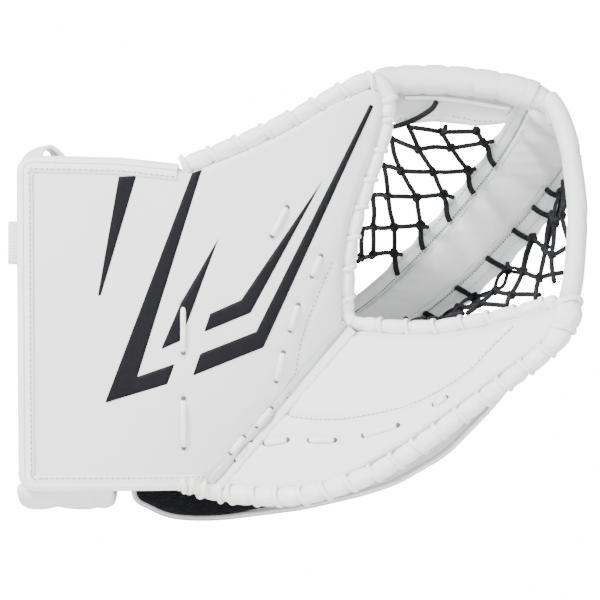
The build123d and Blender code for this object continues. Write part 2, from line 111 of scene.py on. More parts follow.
# ---- curves and meshes --------------------------------------------------------------------------
def unit(v):
    return v / np.linalg.norm(v, axis=-1, keepdims=True)


def tangents(path):
    return unit(np.gradient(path, axis=0))


def smooth(points, step=1.5, closed=False):
    """Points spaced evenly along a smooth curve through the given ones."""
    p = np.array(points, float)
    if closed:
        p = np.vstack([p[-1:], p, p[:2]])
    else:
        p = np.vstack([2 * p[0] - p[1], p, 2 * p[-1] - p[-2]])
    found = []
    for a, b, c, d in zip(p, p[1:], p[2:], p[3:]):
        t = np.linspace(0, 1, 24, endpoint=False)[:, None]
        found.append(0.5 * (2 * b + (c - a) * t + (2 * a - 5 * b + 4 * c - d) * t**2 + (3 * b - a - 3 * c + d) * t**3))
    if not closed:
        found.append(p[-2:-1])
    return even(np.vstack(found), step, closed)


def even(points, step, closed=False):
    """Points spaced evenly along a line."""
    p = np.array(points, float)
    if closed:
        p = np.vstack([p, p[:1]])
    length = np.concatenate([[0], np.cumsum(np.linalg.norm(np.diff(p, axis=0), axis=1))])
    count = max(2, int(round(length[-1] / step)) + 1)
    at = np.linspace(0, length[-1], count)
    result = np.column_stack([np.interp(at, length, p[:, i]) for i in range(p.shape[1])])
    return result[:-1] if closed else result


def rounded(outline, radius, step=1.5):
    """A closed outline with its corners rounded and its sides divided evenly."""
    p = np.array(outline, float)
    found = []
    for before, corner, after in zip(np.roll(p, 1, 0), p, np.roll(p, -1, 0)):
        a, b = before - corner, after - corner
        la, lb = np.linalg.norm(a), np.linalg.norm(b)
        reach = min(radius, 0.45 * la, 0.45 * lb)
        start, end = corner + a / la * reach, corner + b / lb * reach
        for t in np.linspace(0, 1, 7):
            found.append((1 - t) ** 2 * start + 2 * t * (1 - t) * corner + t**2 * end)
    return even(found, step, True)


def to_line(x, z, line, closed=False):
    """Distance of each point from a line in X and Z."""
    line = np.array(line, float)
    ends = np.roll(line, -1, 0) if closed else line[1:]
    starts = line if closed else line[:-1]
    best = np.full(np.shape(x), 1e9)
    for a, b in zip(starts, ends):
        d = b - a
        t = np.clip(((x - a[0]) * d[0] + (z - a[1]) * d[1]) / max(d @ d, 1e-9), 0, 1)
        best = np.minimum(best, np.hypot(x - a[0] - t * d[0], z - a[1] - t * d[1]))
    return best


def inside(x, z, outline):
    o = np.array(outline, float)
    hit = np.zeros(np.shape(x), bool)
    for (x0, z0), (x1, z1) in zip(o, np.roll(o, -1, 0)):
        if z0 != z1:
            crossing = (x1 - x0) * (z - z0) / (z1 - z0) + x0
            hit ^= ((z0 > z) != (z1 > z)) & (x < crossing)
    return hit


def make(name, vertices, faces, material):
    mesh = bpy.data.meshes.new(name)
    mesh.from_pydata((np.array(vertices) * MM).tolist(), [], [tuple(int(i) for i in f) for f in faces])
    mesh.validate()
    mesh.shade_smooth()
    obj = bpy.data.objects.new(name, mesh)
    bpy.context.scene.collection.objects.link(obj)
    mesh.materials.append(material)
    return obj


def bending(side, reach, along=0.0):
    """Bodies and points between a half (1 thumb, -1 finger) and the fold line, for a piece that crosses the break."""
    far, near = place(along, side * reach).ravel(), place(along, 0).ravel()
    return (THUMB_SIDE, T_BODY, far, near) if side > 0 else (T_BODY, FINGER_SIDE, near, far)


def finish_piece(obj, body, nodes=()):
    """Says what a piece rides on and the nodes it stands for."""
    if isinstance(body, str):
        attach(obj, body)
    else:
        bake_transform(obj)
    if nodes:
        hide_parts(*nodes)
    return obj


class Mass:
    """Gathers many small closed shapes into one mesh."""

    def __init__(self):
        self.v, self.f, self.n = [], [], 0

    def add(self, vertices, faces):
        self.v.append(np.asarray(vertices, float))
        self.f += [tuple(i + self.n for i in face) for face in faces]
        self.n += len(vertices)

    def done(self, name, material):
        return make(name, np.vstack(self.v), self.f, material)


def swept(path, section, closed=False, up=(0, -1, 0), caps=True):
    """Vertices and faces of a section carried along a path. section(share) gives offsets along side and up."""
    path = np.array(path, float)
    run = np.gradient(path, axis=0) if not closed else np.roll(path, -1, 0) - np.roll(path, 1, 0)
    run /= np.linalg.norm(run, axis=1)[:, None] + 1e-12
    up = np.array(up, float)
    ups = np.broadcast_to(up, path.shape) if up.ndim == 1 else up
    side = np.cross(run, ups)
    side /= np.linalg.norm(side, axis=1)[:, None] + 1e-12
    rise = np.cross(side, run)
    rings = []
    for i, p in enumerate(path):
        s = section(i / max(1, len(path) - 1))
        rings.append(p + s[:, :1] * side[i] + s[:, 1:2] * rise[i])
    count = len(rings[0])
    vertices = np.vstack(rings)
    faces = []
    last = len(path) if closed else len(path) - 1
    for i in range(last):
        j = (i + 1) % len(path)
        for k in range(count):
            m = (k + 1) % count
            faces.append((i * count + k, j * count + k, j * count + m, i * count + m))
    if caps and not closed:
        faces.append(tuple(range(count)))
        faces.append(tuple(range((len(path) - 1) * count, len(path) * count))[::-1])
    return vertices, faces


def oval(a, b, count=16):
    t = np.arange(count) / count * math.tau
    return np.column_stack([a * np.cos(t), b * np.sin(t)])


def slab_section(width, thick, count=5):
    """A flat lace's rounded section, wide along side and thin along up."""
    t = np.linspace(-math.pi / 2, math.pi / 2, count)
    right = np.column_stack([width / 2 - thick / 2 + thick / 2 * np.cos(t), thick / 2 * np.sin(t)])
    return np.vstack([right, -right])


def noise2(x, z, scale, seed=0):
    """Smooth random relief between about -1 and 1."""
    r = np.random.default_rng(seed)
    total = np.zeros(np.shape(x))
    for _ in range(9):
        direction = r.uniform(0, math.tau)
        length = scale * r.uniform(0.6, 1.7)
        phase = r.uniform(0, math.tau)
        total += np.sin((x * math.cos(direction) + z * math.sin(direction)) / length * math.tau + phase)
    return total / 4


def panel(name, outline, depth, thick, material, relief=None, edge=3.0, back_edge=2.0, step=2.0, front=0.0):
    """A padded panel: a rounded, embossed face that follows depth, its walls and its back."""
    outline = np.array(outline, float)
    low, high = outline.min(0), outline.max(0)
    gx, gz = np.meshgrid(np.arange(low[0], high[0], step), np.arange(low[1], high[1], step * 0.87))
    gx = gx + (np.arange(gx.shape[0]) % 2)[:, None] * step / 2
    gx, gz = gx.ravel(), gz.ravel()
    keep = inside(gx, gz, outline)
    gx, gz = gx[keep], gz[keep]
    far = to_line(gx, gz, outline, True) > 0.55 * step
    points = [tuple(p) for p in outline] + list(zip(gx[far], gz[far]))
    rim = len(outline)
    co, _, faces, *_ = delaunay_2d_cdt([Vector(p) for p in points], [], [list(range(rim))], 1, 1e-4)
    co = np.array([tuple(c) for c in co])
    x, z = co[:, 0], co[:, 1]
    to_edge = to_line(x, z, outline, True)
    to_edge[:rim] = 0
    drop = edge - np.sqrt(np.maximum(edge**2 - np.maximum(edge - to_edge, 0) ** 2, 0))
    y = depth(x, z) + front + drop
    if relief is not None:
        y = y + relief(x, z, to_edge) * np.clip(to_edge / 2.0, 0, 1)
    rise = back_edge - np.sqrt(np.maximum(back_edge**2 - np.maximum(back_edge - to_edge, 0) ** 2, 0))
    yb = depth(x, z) + thick - rise
    n = len(co)
    vertices = np.vstack([np.column_stack([x, y, z]), np.column_stack([x, yb, z])])
    a, b = co[faces[0][1]] - co[faces[0][0]], co[faces[0][2]] - co[faces[0][0]]
    ccw = a[0] * b[1] - a[1] * b[0] > 0
    front_faces = [tuple(f) if ccw else tuple(f)[::-1] for f in faces]
    every = front_faces + [tuple(i + n for i in f)[::-1] for f in front_faces]
    area = np.sum(outline[:, 0] * np.roll(outline[:, 1], -1) - np.roll(outline[:, 0], -1) * outline[:, 1])
    for i in range(rim):
        j = (i + 1) % rim
        every.append((j, i, i + n, j + n) if area > 0 else (i, j, j + n, i + n))
    return make(name, vertices, every, material)


# ---- materials ----------------------------------------------------------------------------------
def material(name, colour, rough=0.5, vary=0.06, grain=0.35, grain_size=0.9, weave=0.0, weave_size=0.8, sheen=0.0,
             wear=0.0, dirt=(0.62, 0.6, 0.56), shine=0.5):
    """Leather, lace or cloth from noise, cells and crossed waves; sizes are millimetres."""
    m = bpy.data.materials.new(name)
    m.use_nodes = True
    nodes, links = m.node_tree.nodes, m.node_tree.links
    shader = nodes["Principled BSDF"]
    shader.inputs["Roughness"].default_value = rough
    shader.inputs["Sheen Weight"].default_value = sheen
    shader.inputs["Specular IOR Level"].default_value = shine
    where = nodes.new("ShaderNodeTexCoord")

    def noise(size, detail=3.0, kind="ShaderNodeTexNoise"):
        n = nodes.new(kind)
        n.inputs["Scale"].default_value = 1000.0 / size
        if kind == "ShaderNodeTexNoise":
            n.inputs["Detail"].default_value = detail
        links.new(where.outputs["Object"], n.inputs["Vector"])
        return n

    def bump(height, strength, distance, under=None):
        n = nodes.new("ShaderNodeBump")
        n.inputs["Strength"].default_value = strength
        n.inputs["Distance"].default_value = distance
        links.new(height, n.inputs["Height"])
        if under:
            links.new(under.outputs["Normal"], n.inputs["Normal"])
        return n

    broad, fine = noise(38.0), noise(5.0)
    mix = nodes.new("ShaderNodeMix")
    mix.data_type = "RGBA"
    mix.inputs[6].default_value = (*[c * (1 - vary) for c in colour], 1)
    mix.inputs[7].default_value = (*[min(1, c * (1 + vary)) for c in colour], 1)
    links.new(broad.outputs["Fac"], mix.inputs[0])
    last = mix
    if wear:
        spread = nodes.new("ShaderNodeMapRange")
        spread.inputs["From Min"].default_value = 0.56
        spread.inputs["From Max"].default_value = 0.78
        spread.inputs["To Max"].default_value = wear
        links.new(fine.outputs["Fac"], spread.inputs["Value"])
        worn = nodes.new("ShaderNodeMix")
        worn.data_type = "RGBA"
        worn.inputs[7].default_value = (*dirt, 1)
        links.new(spread.outputs["Result"], worn.inputs[0])
        links.new(mix.outputs[2], worn.inputs[6])
        last = worn
    links.new(last.outputs[2], shader.inputs["Base Color"])
    cells = noise(grain_size, kind="ShaderNodeTexVoronoi")
    top = bump(fine.outputs["Fac"], 0.35, 0.0006, bump(cells.outputs["Distance"], grain, 0.0002))
    if weave:
        for turn in ((0.5, 0.5, 0.7), (0.6, 0.4, -0.7)):
            spin = nodes.new("ShaderNodeMapping")
            spin.inputs["Rotation"].default_value = tuple(t * 1.6 for t in turn)
            wave = nodes.new("ShaderNodeTexWave")
            wave.inputs["Scale"].default_value = 314.0 / weave_size
            wave.inputs["Distortion"].default_value = 0.4
            links.new(where.outputs["Object"], spin.inputs["Vector"])
            links.new(spin.outputs["Vector"], wave.inputs["Vector"])
            top = bump(wave.outputs["Fac"], weave, 0.0003, top)
    links.new(top.outputs["Normal"], shader.inputs["Normal"])
    gloss = nodes.new("ShaderNodeMapRange")
    gloss.inputs["To Min"].default_value = max(0.05, rough - 0.1)
    gloss.inputs["To Max"].default_value = min(1, rough + 0.12)
    links.new(fine.outputs["Fac"], gloss.inputs["Value"])
    links.new(gloss.outputs["Result"], shader.inputs["Roughness"])
    return m


WHITE = material("white_leather", (0.66, 0.68, 0.67), 0.52, 0.03, 0.3, 0.8, wear=0.05)
# painted shade: a darker copy of the white leather, with some wear, for pieces that lie in shade: the break strips, the
# T's side strips, the rim flap and the outer wall
SHADE_PAINTED_WHITE = material("grey_white_leather", (0.60, 0.625, 0.615), 0.55, 0.05, 0.35, 0.8, wear=0.08)
BRIGHT = material("binding_leather", (0.76, 0.77, 0.755), 0.5, 0.03, 0.3, 0.7, wear=0.04)
BLACK = material("black_leather", (0.0035, 0.0035, 0.005), 0.5, 0.3, 0.4, 0.7, shine=0.12)
LACE_WHITE = material("white_lace", (0.86, 0.83, 0.80), 0.62, 0.03, 0.2, 0.5, weave=0.5, weave_size=0.7)
LACE_BLACK = material("pocket_lace", (0.0035, 0.004, 0.006), 0.6, 0.4, 0.3, 0.5, weave=0.9, weave_size=0.9, shine=0.25)
LINING = material("lining", (0.006, 0.0065, 0.008), 0.85, 0.3, 0.2, 0.5, weave=0.6, weave_size=0.9, sheen=0.05,
                  shine=0.15)
WEBBING = material("webbing", (0.010, 0.0105, 0.013), 0.75, 0.3, 0.1, 0.5, weave=1.0, weave_size=1.3, sheen=0.05,
                   shine=0.2)
WHITE_WEB = material("white_webbing", (0.72, 0.73, 0.72), 0.7, 0.05, 0.1, 0.5, weave=0.8, weave_size=1.2)
HOOK = material("hook_and_loop", (0.02, 0.02, 0.023), 0.95, 0.4, 1.0, 0.35, weave=0.3, weave_size=0.6, sheen=0.4)
THREAD = material("thread", (0.66, 0.67, 0.66), 0.7, 0.05, 0.1, 0.3, weave=0.4, weave_size=0.4)
# painted shade: dark grey discs that stand for the shade inside needle and lace holes
HOLE_SHADE_PAINT = material("hole_painted_shade", (0.10, 0.105, 0.09), 0.9, 0.2)
# painted shade: dark thread for the T's main seams, standing for the shade over thread sunk in the seam
SEAM_SHADE_PAINT = material("sunk_thread_painted_shade", (0.13, 0.135, 0.125), 0.85, 0.2)


# ---- stitching and lacing -----------------------------------------------------------------------
def stitches(name, lines, body, pitch=3.2, length=2.2, radius=0.32, proud=0.12, holes=True):
    """Thread lying along lines on a surface, with a dark disc of painted shade for the needle hole between stitches.
    Each line is (points, outward).
    """
    thread, hole_shade_dots = Mass(), Mass()
    for points, outward in lines:
        p = even(points, pitch)
        outward = np.array(outward, float)
        for q, r in zip(p, tangents(p)):
            out = unit(outward - r * (outward @ r))
            t = np.linspace(-0.5, 0.5, 5)
            bow = q + r * (t[:, None] * length) + out * (proud + radius * 0.6 * (1 - (2 * t[:, None]) ** 2))
            thick = radius * np.sqrt(np.maximum(1.05 - (2 * t) ** 2, 0.12))
            thread.add(*swept(bow, lambda s: oval(1, 1, 6) * thick[int(round(s * 4))], up=out))
            if holes:
                gap = q + r * pitch / 2
                # a dark disc of painted shade for the needle hole
                hole_shade_dots.add(*swept([gap + out * 0.02, gap + out * (proud + 0.06)], lambda s: oval(0.42, 0.42, 8), up=r))
    finish_piece(thread.done(name, THREAD), body)
    if holes:
        finish_piece(hole_shade_dots.done(name + "_holes", HOLE_SHADE_PAINT), body)


def lace_turn(mass, centre, along, across_reach, rise_reach, shift, width):
    """One turn of whip lace round a roll, shifted along the roll from its front to its back."""
    side = unit(np.cross(along, FRONT))
    rise = np.cross(side, along)
    t = np.linspace(0, math.tau, 26, endpoint=False)[:, None]
    ring = centre + np.cos(t) * side * across_reach + np.sin(t) * rise * rise_reach + along * np.cos(t) * shift
    mass.add(*swept(ring, lambda s: oval(width / 2, 1.15, 12), closed=True, up=unit(ring - centre)))


def laced_roll(name, points, radius, pitch, body, nodes, lace_nodes, first=0.01, last=0.99, squeeze=0.9,
               lace_width=3.5, slant=0.5, taper=None):
    """A padded roll pinched by white laces that wind round it."""
    path = smooth(points, 1.3)
    length = np.linalg.norm(np.diff(path, axis=0), axis=1).sum()
    count = max(2, int(round(length * (last - first) / pitch)))
    at = np.linspace(first, last, count)
    wobble = rng.normal(0, 0.10, len(path) + 8)
    around = np.arange(30) / 30 * math.tau

    def section(share):
        near = np.abs(at - share).min() * length
        pinch = squeeze * math.exp(-((near / 2.4) ** 2))
        swell = 0.45 * (1 - math.exp(-((near / 4.5) ** 2)))
        r = radius - pinch + swell + wobble[int(share * len(path))] * 0.5
        end = min(share, 1 - share) * length
        r *= min(1.0, 0.45 + 0.55 * math.sqrt(max(0, 1 - max(0, 1 - end / radius) ** 2)))
        if taper:
            r *= taper(share)
        ring = oval(r * 1.03, r, 30)
        welt = 0.42 * np.exp(-(((around - 1.15 - 0.25 * math.sin(share * length / 9)) / 0.16) ** 2))
        pleat = 0.22 * np.sin(7 * around + share * length * 0.5) * math.exp(-((near / 5.0) ** 2))
        return ring * (1 - (welt - pleat) / radius)[:, None]

    finish_piece(make(name, *swept(path, section), BRIGHT), body, nodes)
    run = tangents(path)
    laces = Mass()
    for share in at:
        i = min(len(path) - 1, int(round(share * (len(path) - 1))))
        r = (radius - squeeze + 0.35) * (taper(share) if taper else 1)
        turn = rng.normal(0, 0.12) + slant
        width = lace_width * rng.uniform(0.92, 1.06)
        lace_turn(laces, path[i], run[i], r * 1.03 + 0.75, r + 0.75, turn * 3.2, width)
    finish_piece(laces.done(name + "_whip", LACE_WHITE), body, lace_nodes)


def cord_mass(mass, points, radius):
    """A run of round lace through a few points."""
    path = smooth(points, 1.6) if len(points) > 2 else even(points, 1.6)
    mass.add(*swept(path, lambda s: oval(radius, radius, 9), up=unit(np.cross(path[-1] - path[0], (0.3, 1, 0.2)))))


def knot(mass, centre, radius, seed):
    """A tight turn of lace round a crossing."""
    r = np.random.default_rng(seed)
    for i in range(2):
        axis = unit(r.normal(size=3))
        a = unit(np.cross(axis, (0.2, 0.9, 0.4)))
        b = np.cross(axis, a)
        t = np.linspace(0, math.tau, 12, endpoint=False)[:, None]
        ring = centre + (np.cos(t) * a + np.sin(t) * b * 0.8) * radius * 0.62 + axis * (i - 0.5) * radius * 0.5
        mass.add(*swept(ring, lambda s: oval(radius * 0.55, radius * 0.5, 8), closed=True, up=axis))


def eyelet(mass, depth, x, z, sink, deep, radius, count):
    """A lace hole: a small dark disc of painted shade on a face."""
    c = np.array([x, depth(x, z) + sink, z])
    mass.add(*swept([c, c - np.array([0, deep, 0])], lambda s: oval(radius, radius, count), up=(0, 0, 1)))


# ---- thumb half ---------------------------------------------------------------------------------
TIP = [(26, 143.5), (42, 149), (59, 156), (75, 163), (89, 170), (103, 177), (116, 184.5), (129, 191.5),
       (141, 196.5), (150, 195), (154.5, 187), (154, 174)]
POCKET_EDGE = [(155, 179), (153, 166), (149, 153), (142, 132), (136, 114), (132, 97), (130, 80), (129.5, 64),
               (129.5, 53)]
fold_a, fold_b = place(1, 3.4).ravel(), place(126, 3.4).ravel()
CUFF = [(-75, 149), (-74, -57.8), (38, -58.3), (fold_a[0], fold_a[2]), (fold_b[0], fold_b[2]), (127.2, 47),
        (127, 52), (126.5, 58), (126.5, 79), (128.5, 97), (132.5, 114), (138.5, 132), (146, 151), (152, 170),
        (152.5, 190), (142, 193), (117, 182), (92, 166), (62, 152), (30, 139.5), (22, 143.5), (-12, 147.5)]
cuff_outline = rounded(CUFF, 9.0, 2.0)
INNER_SEAM = [(120.3, 84.3), (111, 63.2), (104.2, 46.5), (99.8, 30.4), (98.6, 24.8), (96.1, 10.5), (88.7, -8.7)]
CUFF_LACES = [((27.3, 57.7), (27.3, 27.3)), ((27.3, -1.2), (27.3, -32.2))]
THUMB_LACES = [((91.8, 117.8), (82.5, 99.8)), ((112.8, 87.4), (107.3, 75)), ((98.6, 57), (93.6, 41)),
               ((89.3, 27.3), (85, 9.3)), ((81.8, -8), (72.5, -19.2)), ((64.5, -26), (56.4, -36)),
               ((69.4, -29.8), (59.5, -40.9)), ((71.3, -37.8), (67, -45.9))]
PALM_LACES = [((77.5, -29.8), (91.8, -27.3)), ((105.4, -27.3), (121.5, -26.7)), ((138.9, -23.6), (160, -16.7)),
              ((181.7, -3.7), (189, 0.6))]


def groove(x, z, line, depth, width):
    """A seam pressed into a face along a line."""
    return depth * np.exp(-((to_line(x, z, line) / width) ** 2))


def dimples(x, z, pairs):
    """The leather pulled in round each lace hole."""
    total = np.zeros_like(x)
    for hx, hz in (hole for pair in pairs for hole in pair):
        total += np.exp(-(((x - hx) ** 2 + (z - hz) ** 2) / 9.0))
    return total


def cuff_relief(x, z, to_edge):
    y = 0.22 * noise2(x, z, 70, 3) + 0.10 * noise2(x, z, 22, 4)
    y += groove(x, z, INNER_SEAM, 0.9, 2.2)
    y += dimples(x, z, CUFF_LACES + THUMB_LACES)
    near_fold = np.exp(-np.maximum(across_fold(x, z) - 3, 0) / 9)
    y += 0.7 * near_fold * noise2(x, z, 17, 5)
    return y


skin = panel("cuff_and_thumb", cuff_outline, thumb_y, STACK, WHITE, cuff_relief, edge=4.5, back_edge=3.0, step=2.0)
finish_piece(skin, THUMB_SIDE,
             ("cuff_thumb_skin", "cuff_thumb_foam", "cuff_thumb_board"))
back_outline = rounded([(p[0] * 0.985 + 0.6, p[1] * 0.985 + 0.8) for p in CUFF], 8.0, 3.0)
inner = panel("cuff_thumb_inner_face", back_outline, thumb_y, STACK + 0.9, LINING,
              lambda x, z, e: 0.5 * noise2(x, z, 40, 8), edge=1.0, back_edge=0.8, step=4.0, front=STACK - 0.6)
finish_piece(inner, THUMB_SIDE, ("cuff_thumb_lining",))


STRIPES = {
    "cuff_stripe_1": [(-12.4, 136.5), (-1.6, 137), (-23.6, 63.2), (-25.4, 62.6)],
    "cuff_stripe_2": [(33, 139.0), (39, 141), (-1.2, 12.4), (22, 20.5), (17.4, 7.8), (-21.1, -3.7)],
    "cuff_stripe_3": [(49.4, 98.6), (29.8, 45.9), (25.4, 34.7), (13.6, 29.5), (26, 58.3)],
    "cuff_stripe_4": [(113.5, 133.9), (69.1, 52.1), (40.3, 40.3), (44, 51.5), (63.2, 60.1)],
    "cuff_stripe_5": [(143.2, 181.7), (145.7, 181), (76.9, 30.4), (68.8, 27.3), (33.2, 13), (37.8, 26.7), (72.5, 40.3)],
}
for node, shape in STRIPES.items():
    stripe = panel("stripe_" + node[-1], even(shape, 1.6, True), thumb_y, 0.9, BLACK,
                   lambda x, z, e: 0.05 * noise2(x, z, 9, 2), edge=0.5, back_edge=0.1, step=1.7, front=-0.8)
    finish_piece(stripe, THUMB_SIDE, (node,))

# binding tape over the cuff's three free edges
top = [(24, 143.6), (6, 145.6), (-12, 147.5), (-66, 148.8)]
left = [(-75, 140), (-74.1, -48)]
low = [(-65, -57.9), (38, -58.3)]
corner_top = [(-66 - 9 * math.sin(a), 139.8 + 9 * math.cos(a)) for a in np.linspace(0.25, 1.4, 5)]
corner_low = [(-65 - 9.1 * math.cos(a), -48.8 - 9.1 * math.sin(a)) for a in np.linspace(0.2, 1.37, 5)]
border = even(top + corner_top + left + corner_low + low, 1.5)
run = tangents(border)
inward = np.column_stack([-run[:, 1], run[:, 0]])
BAND, TURN = 9.3, 3.5
quarter = np.linspace(0, math.pi / 2, 6)
profile = [(u, -0.75 - 0.55 * math.sin(math.pi * (u - TURN) / (BAND - TURN)) * 0.5) for u in np.linspace(BAND, TURN, 8)]
profile += [(TURN - 4.6 * math.sin(a), 3.4 - 4.4 * math.cos(a)) for a in quarter]
profile += [(TURN - 4.6 * math.cos(a), STACK - 2.6 + 3.8 * math.sin(a)) for a in quarter]
profile += [(u, STACK + 1.1) for u in np.linspace(5, BAND, 3)]
profile += [(BAND, STACK + 0.2), (4.0, STACK - 0.2), (0.8, STACK * 0.5), (4.0, 1.0), (BAND, 0.1)]
profile = np.array(profile)
rings = []
for (x, z), n in zip(border, inward):
    pucker = 0.12 * rng.normal()
    u = profile[:, 0]
    px, pz = x + n[0] * u, z + n[1] * u
    base = thumb_y(np.clip(px, -74, 200), pz)
    front = profile[:, 1] < 0
    rings.append(np.column_stack([px, base + profile[:, 1] + pucker * front, pz]))
count = len(profile)
faces = [(i * count + k, (i + 1) * count + k, (i + 1) * count + (k + 1) % count, i * count + (k + 1) % count)
         for i in range(len(rings) - 1) for k in range(count)]
faces += [tuple(range(count))[::-1], tuple(range((len(rings) - 1) * count, len(rings) * count))]
binding = make("cuff_binding_tape", np.vstack(rings), faces, BRIGHT)
finish_piece(binding, THUMB_SIDE, ("cuff_binding",))
stitch_line = border + inward * 7.4
stitches("binding_stitches", [(on(thumb_y, stitch_line, -1.25), FRONT)], THUMB_SIDE, 3.4, 2.3)
stitches("inner_seam_stitches", [(on(thumb_y, smooth(INNER_SEAM), 0.55), FRONT)], THUMB_SIDE,
         3.2, 2.1)

laced_roll("thumb_roll", on(thumb_y, TIP, 5), 5.1, 15.6, THUMB_SIDE, ("thumb_edge_roll",), ("thumb_edge_lace",),
           0.015, 0.93, lace_width=3.7)
laced_roll("thumb_pocket_edge", on(thumb_y, POCKET_EDGE, 5), 4.3, 17.0, THUMB_SIDE, ("thumb_pocket_roll",),
           ("thumb_pocket_lace",), 0.05, 0.93, lace_width=3.3)


def face_laces(name, pairs, depth, body, nodes):
    """White lace seen on a face between its two holes."""
    laces, hole_shade_discs = Mass(), Mass()
    for (x0, z0), (x1, z1) in pairs:
        t = np.linspace(0, 1, 13)
        x, z = x0 + (x1 - x0) * t, z0 + (z1 - z0) * t
        lift = 2.6 * np.minimum(1, np.minimum(t, 1 - t) * 5) ** 0.7 - 1.6
        y = depth(x, z) - lift
        laces.add(*swept(np.column_stack([x, y, z]), lambda s: oval(1.75, 1.15, 12), up=FRONT))
        # each lace hole gets a dark disc of painted shade
        for hx, hz in ((x0, z0), (x1, z1)):
            eyelet(hole_shade_discs, depth, hx, hz, 0.35, 0.5, 1.5, 14)
    finish_piece(laces.done(name, LACE_WHITE), body, nodes)
    finish_piece(hole_shade_discs.done(name + "_holes", HOLE_SHADE_PAINT), body)


face_laces("cuff_laces", CUFF_LACES + THUMB_LACES, thumb_y, THUMB_SIDE, ("cuff_running_lace", "thumb_running_lace"))

# ---- finger half --------------------------------------------------------------------------------
low_f, high_f = place(2, -3.4).ravel(), place(125, -3.4).ravel()
PALM = [(low_f[0], low_f[2]), (60, -58.5), (76, -59.2), (103, -57.5), (119, -54), (136, -45.5), (168, -26), (196, -5.5),
        (221, 13.5), (240, 27.5), (256, 43), (259, 56), (250, 55), (231, 49.5), (214, 44), (187, 39.3), (157, 39),
        (140, 41), (high_f[0], high_f[2])]
PALM_SEAM = [(88.7, -9.3), (96.7, -13), (117.2, -14.3), (137, -11.8), (161.2, -6.2), (178.6, 1.2), (200.9, 15.5),
             (212.7, 27.3), (224.4, 39.1), (228.2, 42.8)]


def palm_relief(x, z, to_edge):
    y = 0.35 * noise2(x, z, 48, 11) + 0.14 * noise2(x, z, 17, 12)
    y += groove(x, z, PALM_SEAM, 0.9, 2.2)
    y += dimples(x, z, PALM_LACES)
    middle = np.exp(-(((x - 162) / 34) ** 2 + ((z + 2) / 16) ** 2))
    y += middle * 1.5 * np.sin((z * 0.9 - x * 0.42) / 5.5) * (0.6 + 0.4 * noise2(x, z, 30, 13))
    y += 1.3 * np.exp(-(((z - 0.32 * (x - 110) + 12) / 10) ** 2)) * np.exp(-(((x - 170) / 45) ** 2))
    near_fold = np.exp(-np.maximum(-across_fold(x, z) - 3, 0) / 8)
    y += 0.8 * near_fold * noise2(x, z, 15, 14)
    return y


palm = panel("palm_panel", rounded(PALM, 5.0, 2.0), palm_y, STACK, WHITE, palm_relief, edge=4.5, back_edge=3.0)
finish_piece(palm, FINGER_SIDE, ("palm_skin", "palm_foam", "palm_board"))
palm_in = panel("palm_inner_face", rounded([(p[0] * 0.97 + 4.5, p[1] * 0.95 - 0.4) for p in PALM], 4.0, 3.0), palm_y,
                STACK + 0.9, LINING, lambda x, z, e: 0.4 * noise2(x, z, 40, 9), edge=1.0, back_edge=0.8, step=4.0,
                front=STACK - 0.6)
finish_piece(palm_in, FINGER_SIDE, ("palm_lining",))
stitches("palm_seam_stitches", [(on(palm_y, smooth(PALM_SEAM), 0.5), (0, -1, -0.4))], FINGER_SIDE)
face_laces("palm_laces", PALM_LACES, palm_y, FINGER_SIDE, ("palm_running_lace",))
PALM_POCKET = [(140, 45), (157, 43.2), (172, 42.8), (187, 43.4), (214, 48), (231, 52), (244, 55.5), (257, 59.5)]
PALM_BOTTOM = [(262.5, 60), (261.5, 50), (256, 38.5), (243, 25), (222, 8.5), (199, -9), (171, -30), (140, -48.6),
               (103, -60.6), (76, -62.4), (53, -61.4)]
laced_roll("palm_pocket_edge", on(palm_y, PALM_POCKET, 5), 4.3, 16.5, FINGER_SIDE, ("palm_pocket_roll",),
           ("palm_pocket_lace",), 0.09, 0.93, lace_width=3.5)
laced_roll("palm_roll", on(palm_y, PALM_BOTTOM, 5), 5.1, 15.5, FINGER_SIDE, ("palm_bottom_roll",),
           ("palm_bottom_lace",), 0.012, 0.985, lace_width=3.6,
           taper=lambda s: 1 + 0.62 * math.exp(-((s / 0.10) ** 2)) + 0.16 * s * s)
# three lace holes as dark discs of painted shade
holes = Mass()
for x, z in ((241.5, 30.5), (227.5, 17), (214, 4.5)):
    eyelet(holes, palm_y, x, z, -0.1, 0.7, 0.9, 10)
finish_piece(holes.done("palm_lace_holes", HOLE_SHADE_PAINT), FINGER_SIDE)

# ---- across the break: gusset skin and roll ends, one piece for each half ------------------------


